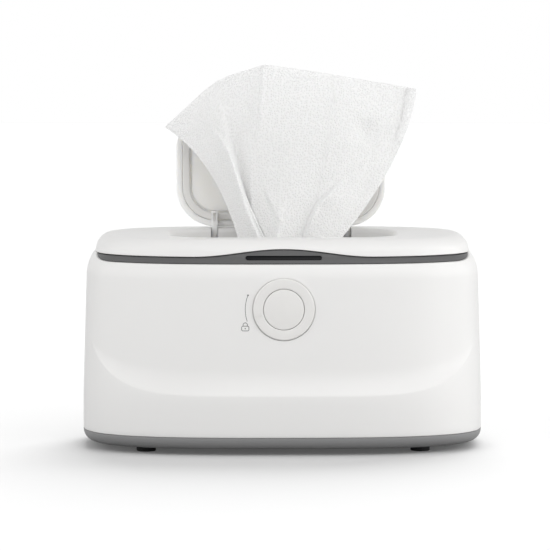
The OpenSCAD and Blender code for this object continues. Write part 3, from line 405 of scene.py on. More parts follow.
white_plastic = moulded_plastic("white satin plastic", (0.82, 0.815, 0.805), 0.36)
button_plastic = moulded_plastic("white dial plastic", (0.79, 0.782, 0.765), 0.30, grain=0.003)
flap_plastic = moulded_plastic("warm white plastic", (0.93, 0.92, 0.905), 0.42)
flap_tree = flap_plastic.node_tree
lets_light_in(flap_tree, flap_tree.nodes["Principled BSDF"], 0.9, 3.0, tint=(1.0, 0.97, 0.9))
inner_plastic = moulded_plastic("natural inner plastic", (0.76, 0.76, 0.75), 0.5)
tub_plastic = moulded_plastic("grey white tub plastic", (0.70, 0.71, 0.72), 0.34, grain=0.002)
grey_plastic = moulded_plastic("grey satin plastic", (0.25, 0.25, 0.252), 0.42, tone=0.05)
band_plastic = moulded_plastic("grey band plastic", (0.101, 0.101, 0.102), 0.42, tone=0.05)
window_plastic = moulded_plastic("smoked window plastic", (0.006, 0.006, 0.007), 0.3, grain=0.0005,
                                 specular=0.15)
black_plastic = moulded_plastic("black plastic", (0.022, 0.022, 0.024), 0.45, tone=0.1)
seal_rubber = moulded_plastic("pale seal rubber", (0.80, 0.79, 0.77), 0.55, grain=0.004, grain_scale=1400.0)
foot_rubber = moulded_plastic("black foot rubber", (0.014, 0.014, 0.015), 0.7, grain=0.02, grain_scale=1100.0,
                              tone=0.2)
wire_sleeve = moulded_plastic("red wire sleeve", (0.42, 0.03, 0.025), 0.4, grain=0.002)
board_green = moulded_plastic("green circuit board", (0.02, 0.15, 0.05), 0.35, grain=0.01, grain_scale=700.0,
                              tone=0.25)
pad_foam = moulded_plastic("insulation foam", (0.58, 0.57, 0.54), 0.9, grain=0.15, grain_scale=900.0, tone=0.15)
film_amber = moulded_plastic("amber heating film", (0.45, 0.20, 0.04), 0.2, grain=0.01, grain_scale=500.0,
                             tone=0.3)
print("moulded finishes ready")

# %% [markdown]
# ## Metal and print
# The pins are drawn steel: the drawing leaves fine lines along the pin, which a noise stretched along X
# gives. The heating plate is rolled aluminium with the same lines, wider and softer. The dial's printed
# mark is a matt grey ink that covers the grain without hiding it.

# %% Drawn metal and ink
def drawn_metal(name, colour, roughness, line_scale, stretch):
    material, tree, shader = principled(name)
    place = add_node(tree, "ShaderNodeTexCoord").outputs["Object"]
    stretched = add_node(tree, "ShaderNodeMapping", {"Vector": place, "Scale": stretch}).outputs["Vector"]
    lines = noise(tree, stretched, line_scale, 5.0)
    feed(tree, shader, {"Metallic": 1.0, "Roughness": remap(tree, lines, roughness - 0.08, roughness + 0.10),
                        "Base Color": tinted(tree, colour, remap(tree, lines, 0.86, 1.0)),
                        "Normal": bump(tree, lines, 0.004)})
    return material


pin_steel = drawn_metal("drawn steel", (0.62, 0.62, 0.63), 0.3, 900.0, (0.04, 1.0, 1.0))
plate_metal = drawn_metal("rolled aluminium", (0.78, 0.79, 0.80), 0.38, 400.0, (0.03, 1.0, 1.0))
mark_ink = moulded_plastic("grey printed ink", (0.24, 0.24, 0.24), 0.55, grain=0.002, tone=0.2)
print("metal and ink ready")

# %% [markdown]
# ## Body shell
# The body is one injection moulding: a skirt that stands proud in front, a soft slope above it that turns up
# at both ends, straight walls that lean in slightly, and a rounded shoulder under the lid. Because all of it
# follows from heights that depend on the place round the outline, the shell is built as rows of points
# from formulas, and not by sculpting.

# %% Body formulas
STRAIGHT_Z = SEAM_Z + 21.0
SIDE_DRAFT = 0.029
SHOULDER_R = 22.0
SHOULDER_Z = PART_Z - 13.6
STEP_LOW_Z = SEAM_Z + 24.9
STEP_HIGH_Z = SEAM_Z + 40.4
ARM_Z = SEAM_Z + 56.2
ARM_H = 1.5
STEP_HALF_W = 115.5
RIM_CUT = 4.2
BAND_END = 1.2
BAND_RAMP = 13.0
RIM_Z = PART_Z - PARTING_GAP
LEDGE_Z = PART_Z - 7.1
LEDGE_W = 1.8
LEDGE_H = 2.4


def side_in(z):
    lean = SIDE_DRAFT * np.maximum(0, z - STRAIGHT_Z)
    up = np.maximum(0, z - SHOULDER_Z)
    return lean + SHOULDER_R - np.sqrt(SHOULDER_R ** 2 - up ** 2)


BASE_OUTLINE = outline(0.0, 0.0)
ROUND_X = BASE_OUTLINE[:, 0]
IS_FRONT = BASE_OUTLINE[:, 1] < 0


def step_rise():
    s = np.where(IS_FRONT, np.minimum(1, np.abs(ROUND_X) / STEP_HALF_W), 1.0)
    return (1 - s ** 6) ** (1 / 1.5)


STEP_LOW = ARM_Z - (ARM_Z - STEP_LOW_Z) * step_rise()
STEP_HIGH = ARM_Z + ARM_H - (ARM_Z + ARM_H - STEP_HIGH_Z) * step_rise()
BAND_SHARE = np.clip((HALF_W - BAND_END - np.abs(ROUND_X)) / BAND_RAMP, 0, 1)
RIM_TOP = RIM_Z - np.where(IS_FRONT, (RIM_CUT - PARTING_GAP) * (1 - (1 - BAND_SHARE) ** 3) ** 0.6, 0.0)


def step_setback(t):
    """The slope's profile: a crisp but slightly rounded start, and a soft end."""
    soft = 0.05
    if t <= -soft:
        return 0.0
    if t < soft:
        return PANEL_DEPTH * (t + soft) ** 2 / (4 * soft) * 2
    return PANEL_DEPTH * (1 - (1 - t) ** 2)


def body_row(z, extra=0.0, setback=PANEL_DEPTH):
    return outline(side_in(z) + extra, z, setback)


# %% Build the body shell
SLOPE_SHARES = (-0.05, -0.02, 0.02, 0.05, 0.1, 0.16, 0.23, 0.31, 0.4, 0.5, 0.6, 0.7, 0.8, 0.9, 1.0)


def skirt_row(z, inset=0.0):
    return body_row(z, inset, 0.0)


def body_rows():
    low_z = SEAM_Z + SEAM_GAP
    ledge_foot = LEDGE_Z - 2 * LEDGE_H
    rows = bend(skirt_row, low_z, 0.0, EDGE, EDGE, 3)
    rows += [skirt_row(mix(low_z + EDGE, STRAIGHT_Z, t)) for t in np.linspace(0.15, 1, 5)]
    rows += [body_row(mix(STEP_LOW, STEP_HIGH, t), 0.0, step_setback(t)) for t in SLOPE_SHARES]
    rows += [body_row(mix(STEP_HIGH, SHOULDER_Z, t)) for t in np.linspace(0, 1, 25)[1:]]
    rows += [body_row(mix(SHOULDER_Z, RIM_TOP - EDGE, t)) for t in np.linspace(0, 1, 15)[1:]]
    rows += bend(body_row, RIM_TOP, 0.0, -EDGE, EDGE, 4, skip=1, swap=True)
    rows += bend(body_row, RIM_TOP, WALL, -EDGE, -EDGE, 3)
    rows += [body_row(z, WALL + more) for z, more in (
        (LEDGE_Z + 0.3, 0.0), (LEDGE_Z, 0.3), (LEDGE_Z, LEDGE_W), (LEDGE_Z - LEDGE_H, LEDGE_W),
        (ledge_foot, 0.0))]
    rows += [body_row(mix(STEP_HIGH, ledge_foot, t), WALL) for t in (0.75, 0.5, 0.25, 0.0)]
    return rows + [skirt_row(STEP_LOW, WALL), skirt_row(low_z, WALL)]


body = skin("body_shell_moulding", body_rows(), closed=True)
print("the body has", len(body.data.polygons), "faces before it is cut")

# %% [markdown]
# The dial sits in a shallow round recess, the lid's hinges in two notches at the rear, and the power inlet
# in a dished hole. They are cut with the exact Boolean, whose clean edges suit a dense, even mesh.

# %% Cut the dial seat, the hinge notches and the inlet
dial_low, dial_high = box_mm("lock_ring")
DIAL_Z = middle("lock_ring")[2]
RING_R = (dial_high[0] - dial_low[0]) / 2 - 0.25
RING_PLAY = 0.4
BUTTON_R = 12.05
HUB_R = BUTTON_R + 2.3
PANEL_Y = -(HALF_D - PANEL_DEPTH - float(side_in(DIAL_Z)))
SEAT_DEPTH = 0.9
BOSS_Y = PANEL_Y + WALL + 0.6

HINGE_X, HINGE_Y, HINGE_Z = middle("lid_pin_right")
HINGE_HALF = box_mm("lid_pin_right")[1][0] - HINGE_X
KNUCKLE_R = 3.4
KNUCKLE_W = 13.0
NOTCH_CLEAR = 1.1
MOVE_GAP = 0.5

INLET = middle("power_socket") * (1, 0, 1)
INLET_FACE_Y = box_mm("power_socket")[1][1]
INLET_NOSE_R = 4.1


def hinge_notch(side):
    half = HINGE_HALF + MOVE_GAP
    return block("notch", (side * HINGE_X - half, HINGE_Y - KNUCKLE_R - 2 * NOTCH_CLEAR,
                           HINGE_Z - KNUCKLE_R - NOTCH_CLEAR),
                 (side * HINGE_X + half, HALF_D + 2, PART_Z + 2))


cut(body,
    rod("seat", "y", RING_R + RING_PLAY, PANEL_Y - 5, PANEL_Y + SEAT_DEPTH, (0, 0, DIAL_Z), 128),
    rod("bore", "y", HUB_R + 0.06, PANEL_Y - 5, BOSS_Y + 5, (0, 0, DIAL_Z), 128),
    hinge_notch(-1), hinge_notch(1),
    rod("inlet", "y", INLET_NOSE_R + 0.1, HALF_D - 12, HALF_D + 5, INLET, 128),
    rod("dish", "y", INLET_NOSE_R + 2.2, INLET_FACE_Y - 0.4, HALF_D + 5, INLET, 128))
hand_over(body, white_plastic, "housing", "body_shell")

# %% [markdown]
# ## Base cover
# A grey tray closes the body from below. Its lower edge is a wide quarter round, so it shows as a band that
# narrows towards the sides. The inner posts stay hidden, and the visible skin is a stack of rows again.

# %% Build the base cover
BASE_EDGE_R = 6.5
LIP_H = 0.6
FOOT_NODES = ("foot_front_left", "foot_front_right", "foot_rear_left", "foot_rear_right")
FOOT_R = 5.8
FOOT_EDGE = 0.8
SCREW_OFF = 16.0
SCREW_WELL_R = 3.4


def base_row(z, inset):
    return outline(inset, z)


def base_rows():
    rows = bend(base_row, BASE_Z, 0.0, SEAM_Z - BASE_Z - LIP_H, BASE_EDGE_R, 14)
    rows += [base_row(SEAM_Z - 0.2, 0.0), base_row(SEAM_Z, 0.2)]
    rows += [base_row(SEAM_Z, WALL), base_row(BASE_Z + WALL, WALL + 0.8)]
    under = drawn_in(base_row(BASE_Z, BASE_EDGE_R), (0.02, 0.25, 0.5, 0.75, 0.9))
    return under + rows + drawn_in(rows[-1], (0.9, 0.6, 0.3, 0.02))


def screw_place(node, z=0.0):
    """Each screw sits a fixed way inwards from its foot."""
    x, y = middle(node)[:2]
    return x - math.copysign(SCREW_OFF, x), y, z


base = skin("base_tray", base_rows())
cut(base, *[rod("screw_well", "z", SCREW_WELL_R, BASE_Z - 1, BASE_Z + 1.2, screw_place(node))
            for node in FOOT_NODES])
hand_over(base, grey_plastic, "housing", "base_cover")

# %% [markdown]
# ## Feet and screws
# Four rubber feet are turned from one profile, with a rounded edge where they meet the table. Next to each
# foot a cross-head screw sits in its well. What repeats like this is a job for Geometry Nodes: one screw
# head is built once, and the tree places it at the four points of a small mesh.

# %% Feet
def collar_profile(outer_r, start, stop, edge, steps=4):
    """A closed profile of a solid disc, with its two outer edges rounded."""
    return ([(0.01, start)] + bend(turned_point, start, outer_r, edge, -edge, steps)
            + bend(turned_point, stop, outer_r, -edge, -edge, steps, swap=True) + [(0.01, stop)])


for node in FOOT_NODES:
    foot = lathe(node + "_pad", collar_profile(FOOT_R, 0.0, BASE_Z + 0.5, FOOT_EDGE), (*middle(node)[:2], 0),
                 axis="z", steps=64)
    hand_over(foot, foot_rubber, "housing", node)

# %% Screws by Geometry Nodes
SCREW_HEAD_R = 2.8
SCREW_HEAD_T = 1.1
SCREW_EDGE = 0.5
SLOT_REACH = 1.7
SLOT_HALF = 0.35


def screw_head():
    """A pan head with a cross recess, drawn with its face at z = 0 looking down."""
    profile = collar_profile(SCREW_HEAD_R, 0.0, SCREW_HEAD_T, SCREW_EDGE)
    head = lathe("screw_head", profile, (0, 0, 0), axis="z", steps=32)
    cut(head, block("slot_a", (-SLOT_REACH, -SLOT_HALF, -0.5), (SLOT_REACH, SLOT_HALF, 0.6)),
        block("slot_b", (-SLOT_HALF, -SLOT_REACH, -0.5), (SLOT_HALF, SLOT_REACH, 0.6)))
    return finish_mesh(head, pin_steel)


def scatter_tree(name, source, material):
    """Places one object on every point, with a named size, and ends in a plain mesh."""
    tree = bpy.data.node_groups.new(name, "GeometryNodeTree")
    tree.interface.new_socket("Geometry", in_out="INPUT", socket_type="NodeSocketGeometry")
    size = tree.interface.new_socket("Size", in_out="INPUT", socket_type="NodeSocketFloat")
    tree.interface.new_socket("Geometry", in_out="OUTPUT", socket_type="NodeSocketGeometry")
    given = tree.nodes.new("NodeGroupInput").outputs
    pattern = add_node(tree, "GeometryNodeObjectInfo", {"Object": source}).outputs["Geometry"]
    placed = add_node(tree, "GeometryNodeInstanceOnPoints",
                      {"Points": given["Geometry"], "Instance": pattern, "Scale": given["Size"]})
    plain = add_node(tree, "GeometryNodeRealizeInstances", {"Geometry": placed.outputs["Instances"]})
    painted = add_node(tree, "GeometryNodeSetMaterial",
                       {"Geometry": plain.outputs["Geometry"], "Material": material})
    feed(tree, tree.nodes.new("NodeGroupOutput"), {"Geometry": painted.outputs["Geometry"]})
    return tree, size.identifier


screws = from_data("base_screws", [screw_place(node, BASE_Z + 0.15) for node in FOOT_NODES], [])
pattern = screw_head()
step = screws.modifiers.new("grow", "NODES")
step.node_group, size_input = scatter_tree("screws on points", pattern, pin_steel)
step[size_input] = 1.0
apply_modifiers(screws)
bpy.data.objects.remove(pattern)
hand_over(screws, pin_steel, "housing")

# %% [markdown]
# ## Lid shell
# The lid is the part that sells the shape: soft rounded edges, a flat deck, and a well with a softly rolled
# rim that the flap closes. Its front edge rises in a smooth arch. Outer skin, deck, well and underside are
# one closed stack of rows. Between the outer edge and the well the rows change from the squared oval to a
# rounded rectangle, point by point in the same direction, so the faces stay even.

# %% Lid formulas
LID_EDGE_R = 7.0
LID_DRAFT = 0.2
DECK_Z = TOP_Z + 0.9
LID_EDGE_Z = DECK_Z - LID_EDGE_R
UNDER_Z = TOP_Z - LID_WALL
LID_IN = float(side_in(PART_Z)) + 0.2
ARCH_RISE = 4.65
ARCH_HALF_W = 55.0
WELL_W = 135.0
WELL_D = 74.0
WELL_R = 26.0
WELL_EDGE_R = 3.0
WELL_FLOOR_Z = TOP_Z - 14.3
WELL_LOW_Z = WELL_FLOOR_Z - 2.0
GATE_OPEN_W = 100.0
GATE_OPEN_D = 40.0
GATE_OPEN_R = 18.0

LID_OUTLINE = outline(LID_IN, 0.0)
ARCH = np.where((LID_OUTLINE[:, 1] < 0) & (np.abs(LID_OUTLINE[:, 0]) < ARCH_HALF_W),
                (1 + np.cos(math.pi * LID_OUTLINE[:, 0] / ARCH_HALF_W)) / 2, 0.0)
LID_LOW = PART_Z + ARCH_RISE * ARCH


def lid_face(z, extra=0.0):
    """A row on the lid's outer face: straight with a slight draft, then a rounded upper edge."""
    up = np.clip((z - LID_EDGE_Z) / LID_EDGE_R, 0, 1)
    inset = LID_IN + LID_DRAFT * (z - PART_Z) + LID_EDGE_R * (1 - np.sqrt(1 - up ** 2))
    return outline(inset + extra, z, PANEL_DEPTH)


def lid_height(t):
    """Height of the row at share t of the way up the face, in even steps along the straight and the arc."""
    start = np.arcsin(np.clip((LID_LOW + EDGE - LID_EDGE_Z) / LID_EDGE_R, 0, 1))
    straight = np.maximum(0, LID_EDGE_Z - LID_LOW - EDGE)
    way = t * (straight + LID_EDGE_R * (math.pi / 2 - start))
    turn = start + np.maximum(0, way - straight) / LID_EDGE_R
    return np.where(way < straight, LID_LOW + EDGE + way, LID_EDGE_Z + LID_EDGE_R * np.sin(turn))


def rounded_row(half_w, half_d, radius, z):
    """A rounded rectangle seen in the directions of the squared oval's points."""
    direction = np.stack([np.abs(UNIT_X) * half_w, np.abs(UNIT_Y) * half_d], axis=1)
    direction /= np.linalg.norm(direction, axis=1)[:, None]
    centre = np.array([half_w - radius, half_d - radius])
    toward = direction @ centre
    arc = toward + np.sqrt(np.maximum(0, toward ** 2 - centre @ centre + radius ** 2))
    side = half_w / np.maximum(direction[:, 0], 1e-9)
    end = half_d / np.maximum(direction[:, 1], 1e-9)
    reach = np.where(side * direction[:, 1] <= centre[1], side,
                     np.where(end * direction[:, 0] <= centre[0], end, arc))
    x = np.sign(UNIT_X) * direction[:, 0] * reach
    y = np.sign(UNIT_Y) * direction[:, 1] * reach
    return np.stack([x, y, np.full(COLUMNS, float(z))], axis=1)


def well_row(z, grow=0.0):
    return rounded_row(WELL_W / 2 + grow, WELL_D / 2 + grow, WELL_R + grow, z)


# %% Build the lid shell
def lid_rows():
    rows = bend(lid_face, LID_LOW, 0.0, EDGE, EDGE, 3)
    rows += [lid_face(lid_height(t)) for t in np.linspace(0, 1, 27)[1:]]
    deck_edge, well_top = rows[-1], well_row(DECK_Z, WELL_EDGE_R)
    rows += [mix(deck_edge, well_top, t) for t in np.linspace(0, 1, 11)[1:]]
    rows += bend(well_row, DECK_Z, 0.0, -WELL_EDGE_R, WELL_EDGE_R, 10, skip=1)
    rows += [well_row(mix(DECK_Z - WELL_EDGE_R, WELL_FLOOR_Z + 1, t)) for t in (0.33, 0.66, 1.0)]
    rows += bend(well_row, WELL_FLOOR_Z, 0.0, 1, -1, 4, skip=1, swap=True)
    rows += [rounded_row(GATE_OPEN_W / 2, GATE_OPEN_D / 2, GATE_OPEN_R, z)
             for z in (WELL_FLOOR_Z, WELL_LOW_Z)]
    rows += [well_row(WELL_LOW_Z, LID_WALL - 1)]
    rows += [well_row(z, LID_WALL) for z in (WELL_LOW_Z + 1, UNDER_Z)]
    rows += [lid_face(np.minimum(lid_height(t), UNDER_Z), LID_WALL) for t in (0.85, 0.7, 0.5, 0.25, 0.0)]
    return rows + bend(lid_face, LID_LOW, LID_WALL, EDGE, -EDGE, 3, skip=1, swap=True)


ARM_X, FLAP_PIN_Y, FLAP_PIN_Z = FLAP_PIN = middle("flap_pin_right")
LUG_OUT = box_mm("flap_pin_right")[1][0] - ARM_X
LUG_T = 1.8
EYE_R = 2.6
FLAP_ARM_W = 3.8
ARM_CLEAR = 0.35
ARM_SIDES = (-1, 1)


def arm_slots(side):
    """Two openings for one arm of the flap: through the well's wall and through the deck behind it."""
    low_x, high_x = [side * ARM_X + turn * (FLAP_ARM_W / 2 + ARM_CLEAR) for turn in ARM_SIDES]
    low_y = WELL_D / 2 - 1
    return [block("wall_slot", (low_x, low_y, FLAP_PIN_Z - EYE_R - 0.6),
                  (high_x, WELL_D / 2 + LID_WALL + 1, UNDER_Z - 0.2)),
            block("deck_slot", (low_x, low_y, FLAP_PIN_Z + 1), (high_x, FLAP_PIN_Y + EYE_R + 0.6, DECK_Z + 1))]


lid = skin("lid_shell_moulding", lid_rows(), closed=True)
cut(lid, *[slot for side in ARM_SIDES for slot in arm_slots(side)])
hand_over(lid, white_plastic, "lid", "lid_shell")

# %% [markdown]
# Under the deck sit the lugs that carry the flap's pins, and at the rear the two knuckles that turn on the
# lid's pins. They are built as small solids of their own, the knuckles with rounded edges, and ride with the
# lid.

# %% Lugs and knuckles
LUG_BORE_R = 1.16
KNUCKLE_BORE_R = 1.31


def eyelet(x, width, pin, radius, bore_r, web_y, web_z, steps):
    """A round eye on a web that reaches up into the deck, with a hole for its pin."""
    whole = rod("eyelet", "x", radius, x, x + width, (0, *pin), steps)
    fuse(whole, block("web", (x, pin[0] - radius, pin[1]), (x + width, pin[0] + web_y, web_z)))
    return cut(whole, rod("pin_hole", "x", bore_r, x - 1, x + width + 1, (0, *pin)))


fittings = [eyelet(side * ARM_X + inner_x, LUG_T, FLAP_PIN[1:], EYE_R, LUG_BORE_R, EYE_R, UNDER_Z + 0.3, 64)
            for side in ARM_SIDES for inner_x in (-LUG_OUT, LUG_OUT - LUG_T)]
fittings += [round_edges(eyelet(side * HINGE_X - KNUCKLE_W / 2, KNUCKLE_W, (HINGE_Y, HINGE_Z), KNUCKLE_R,
                                KNUCKLE_BORE_R, 0.6, PART_Z + 2, 96), 0.3) for side in ARM_SIDES]
hand_over(join("lid_hinge_fittings", fittings), white_plastic, "lid")

# %% [markdown]
# ## Dial: lock ring and push button
# Both are turned parts, so a profile and a lathe give them at once. The thin dark lines in the picture are
# the gaps between them, a quarter of a millimetre wide, and the tiny radii at the edges catch the light
# beside each line. The ring's pointer is a short radial groove.

# %% Lock ring and button
DIAL_GAP = 0.25
RING_BORE = BUTTON_R + DIAL_GAP
RING_PROUD = 1.5
RING_IN_EDGE = 0.35
RING_OUT_EDGE = 0.8
RING_FACE_Y = PANEL_Y - RING_PROUD
RING_SEAT_Y = PANEL_Y + 0.8
LIP_R = HUB_R + 1.6
POINTER_ANGLE = math.radians(196)
BUTTON_CROWN = 0.5
BUTTON_EDGE = 0.4
BUTTON_FACE_Y = RING_FACE_Y + 0.1
BUTTON_BACK_Y = BOSS_Y - 0.2
STEM_R = 3.2
STEM_END_Y = box_mm("push_button")[1][1]


def pointer_groove():
    """A short bar across the ring's face, at the pointer's angle."""
    groove = block("groove", (RING_R - 4.6, RING_FACE_Y - 1, -0.5), (RING_R - 1.0, RING_FACE_Y + 0.45, 0.5))
    turn = Matrix.Rotation(-POINTER_ANGLE, 4, "Y")
    groove.data.transform(Matrix.Translation((0, 0, DIAL_Z * MM)) @ turn)
    return groove


ring_profile = [(RING_BORE, BOSS_Y + 2.2)]
ring_profile += bend(turned_point, RING_FACE_Y, RING_BORE, RING_IN_EDGE, RING_IN_EDGE, 4, swap=True)
ring_profile += bend(turned_point, RING_FACE_Y, RING_R, RING_OUT_EDGE, -RING_OUT_EDGE, 6)
ring_profile += [(RING_R, RING_SEAT_Y), (HUB_R, RING_SEAT_Y), (HUB_R, BOSS_Y + 0.3), (LIP_R, BOSS_Y + 0.6),
                 (LIP_R, BOSS_Y + 1.6), (HUB_R, BOSS_Y + 2.2)]
lock_ring = lathe("lock_ring_moulding", ring_profile, (0, 0, DIAL_Z), steps=192)
cut(lock_ring, pointer_groove())
hand_over(lock_ring, button_plastic, "lock_ring", "lock_ring")

button_profile = [((BUTTON_R - BUTTON_EDGE) * t + 0.001, BUTTON_FACE_Y - BUTTON_CROWN * (1 - t ** 2))
                  for t in np.linspace(0, 0.9, 10)]
button_profile += bend(turned_point, BUTTON_FACE_Y, BUTTON_R, BUTTON_EDGE, -BUTTON_EDGE, 4)
button_profile += [(BUTTON_R, BUTTON_BACK_Y), (STEM_R, BUTTON_BACK_Y), (STEM_R, STEM_END_Y),
                   (0.001, STEM_END_Y)]
button = lathe("push_button_moulding", button_profile, (0, 0, DIAL_Z), steps=160)
hand_over(button, button_plastic, "button", "push_button")

# %% [markdown]
# ## Printed dial mark
# Left of the dial a thin arc ends in a dot at the open position, and a small padlock stands at the locked
# one. Print has no thickness to speak of, so each mark is a ribbon that follows the panel a few hundredths
# of a millimetre in front of it. The panel's formula gives the depth at every point.

# %% The printed mark
PRINT_PROUD = 0.03
PRINT_SUNK = 0.05


def panel_depth_at(x, z):
    """The front panel's place along Y at a point of its face."""
    inset = side_in(z)
    reach = 1 - (np.abs(x) / (HALF_W - inset)) ** FULLNESS
    y = -(HALF_D - inset) * reach ** (1 / FULLNESS)
    return y + PANEL_DEPTH * panel_fade(x) * smooth(-y / 30)


def printed_strip(name, left, right):
    """A thin solid between two lines of (x, z) points on the panel."""
    lines = []
    for line, out in ((left, -PRINT_SUNK), (left, PRINT_PROUD), (right, PRINT_PROUD), (right, -PRINT_SUNK)):
        x, z = np.array(line).T
        lines.append(np.stack([x, panel_depth_at(x, z) - out, z], axis=1))
    return skin(name, np.stack(lines, axis=1))


def round_points(centre, radius, start, end, steps):
    """Points along an arc, from one angle in degrees to another."""
    return [(centre[0] + radius * math.cos(a), centre[1] + radius * math.sin(a))
            for a in np.radians(np.linspace(start, end, steps))]


def ring_strip(name, centre, inner, outer, start, end, steps):
    return printed_strip(name, *[round_points(centre, radius, start, end, steps) for radius in (inner, outer)])


def outline_strip(name, points, width):
    """A printed line of even width round a closed run of points."""
    centre = np.array(points)
    along = np.roll(centre, -1, axis=0) - np.roll(centre, 1, axis=0)
    along /= np.linalg.norm(along, axis=1)[:, None]
    side = np.stack([along[:, 1], -along[:, 0]], axis=1) * width / 2
    return printed_strip(name, *[np.vstack([edge, edge[:1]]) for edge in (centre - side, centre + side)])


def rounded_case(centre, half_w, half_h, radius):
    """Points round a small rounded rectangle."""
    return [point for cx, cz, turn in ((1, 1, 0), (-1, 1, 90), (-1, -1, 180), (1, -1, 270))
            for point in round_points((centre[0] + cx * (half_w - radius), centre[1] + cz * (half_h - radius)),
                                      radius, turn, turn + 90, 7)]


DIAL_CENTRE = (0.0, DIAL_Z)
ARC_R = 22.9
ARC_START = 158.5
ARC_END = 198.0
PRINT_LINE = 0.36
DOT_R = 0.55
LOCK_CENTRE = (-22.9, DIAL_Z - 11.3)
LOCK_HALF_W = 2.15
LOCK_HALF_H = 1.4
LOCK_CORNER = 0.8
LOCK_LINE = 0.42
KEYHOLE_R = 0.4
SHACKLE_R = 1.3


def shackle_line(radius):
    """One edge of the shackle: straight up from the case, over the bow and down again."""
    bow = [(radius, 0.0), *round_points((0, 0.7), radius, 0, 180, 19), (-radius, 0.0)]
    return [(LOCK_CENTRE[0] + x, LOCK_CENTRE[1] + LOCK_HALF_H + z) for x, z in bow]


arc_top = round_points(DIAL_CENTRE, ARC_R, ARC_START, ARC_START, 1)[0]
marks = [
    ring_strip("arc", DIAL_CENTRE, ARC_R - PRINT_LINE / 2, ARC_R + PRINT_LINE / 2, ARC_START, ARC_END, 40),
    ring_strip("dot", arc_top, 0.02, DOT_R, 0, 360, 33),
    printed_strip("shackle", shackle_line(SHACKLE_R - LOCK_LINE / 2), shackle_line(SHACKLE_R + LOCK_LINE / 2)),
    ring_strip("keyhole", LOCK_CENTRE, 0.02, KEYHOLE_R, 0, 360, 25),
    outline_strip("case", rounded_case(LOCK_CENTRE, LOCK_HALF_W, LOCK_HALF_H, LOCK_CORNER), LOCK_LINE)]
hand_over(join("printed_dial_mark", marks), mark_ink, "housing")

# %% [markdown]
# ## Rim frame and smoked window
# The dark grey frame shows as a band under the lid's edge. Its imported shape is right, so a copy of its mesh
# is merged, smoothed by angle and painted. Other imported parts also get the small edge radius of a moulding.

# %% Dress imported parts
def dressed(node, material, body_name, bevel=0.0):
    """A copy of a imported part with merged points, rounded edges and a finish."""
    mesh = cad_nodes[node].data.copy()
    obj = add_object(node + "_dressed", mesh)
    tidy = bmesh.new()
    tidy.from_mesh(mesh)
    bmesh.ops.remove_doubles(tidy, verts=tidy.verts, dist=2e-6)
    if bevel:
        bmesh.ops.dissolve_limit(tidy, angle_limit=math.radians(1.0), verts=tidy.verts, edges=tidy.edges)
    tidy.to_mesh(mesh)
    tidy.free()
    if bevel:
        round_edges(obj, bevel, segments=2)
    return hand_over(obj, material, body_name, node)


dressed("rim_frame", band_plastic, "housing")

# %% [markdown]
# In front the frame steps out between the body's edge and the lid, almost flush with both. The step is a
# strip along the front half of the outline: its face follows the shoulder's curve and stays a little behind
# it. The window is a bar with round ends. It lies in a pocket in the strip and leans back with it.

# %% Grey band and window
BAND_GAP = 0.3
BAND_TOP_GAP = 0.5
BAND_SUNK = 0.8
BAND_BACK_IN = LID_IN + 4.6
BAND_EDGE = 0.25
BAND_MIN_H = 0.3
WINDOW_Z = PART_Z - 0.5
WINDOW_HALF_W = 22.6
WINDOW_HALF_H = 1.2
WINDOW_LEAN = 0.6
WINDOW_SUNK = 0.35
WINDOW_T = 3.2
POCKET_GAP = 0.12
POCKET_HALF_D = 3.0


def band_face_in(z):
    return np.minimum(side_in(z), LID_IN + LID_DRAFT * (z - PART_Z)) + BAND_SUNK


def band_strip():
    low = RIM_TOP + BAND_GAP
    high = np.maximum(low + BAND_MIN_H, LID_LOW - BAND_TOP_GAP)
    edge = np.minimum(BAND_EDGE, (high - low) / 3)
    loop = [(BAND_BACK_IN, low), (band_face_in(low) + edge, low)]
    loop += [(band_face_in(z), z) for z in [mix(low + edge, high - edge, t) for t in np.linspace(0, 1, 7)]]
    loop += [(band_face_in(high) + edge, high), (BAND_BACK_IN + 1.0, high)]
    lines = np.array([outline(inset, z, PANEL_DEPTH) for inset, z in loop])
    return skin("grey_band", [lines[:, k] for k in np.flatnonzero(IS_FRONT & (BAND_SHARE > 0))])


def capsule_row(y, grow):
    """A bar with round ends, seen from the front, that leans back by a share of its height."""
    a = np.arange(96) * 2 * math.pi / 96
    r = WINDOW_HALF_H + grow
    x = r * np.cos(a) + np.sign(np.cos(a)) * (WINDOW_HALF_W - WINDOW_HALF_H)
    z = r * np.sin(a)
    return np.stack([x, y + WINDOW_LEAN * z, WINDOW_Z + z], axis=1)


BAND_Y = float(-(HALF_D - band_face_in(WINDOW_Z)) + PANEL_DEPTH)
band = band_strip()
cut(band, skin("window_pocket", [capsule_row(BAND_Y + y, POCKET_GAP)
                                 for y in (-POCKET_HALF_D, POCKET_HALF_D)]))
hand_over(band, band_plastic, "housing")
window = skin("indicator_window_bar", [capsule_row(BAND_Y + WINDOW_SUNK + y, -inset)
                                       for y, inset in ((WINDOW_T, 0), (0.2, 0), (0.06, 0.06), (0, 0.2))])
hand_over(window, window_plastic, "housing", "indicator_window")

# %% [markdown]
# ## Flap
# The flap is drawn closed and then turned about its pins by the angle at which the frame holds it open. A
# closed stack of rounded rectangles makes plate and lip in one skin. In its groove lies a pale soft seal,
# and two arms reach back to the pins.

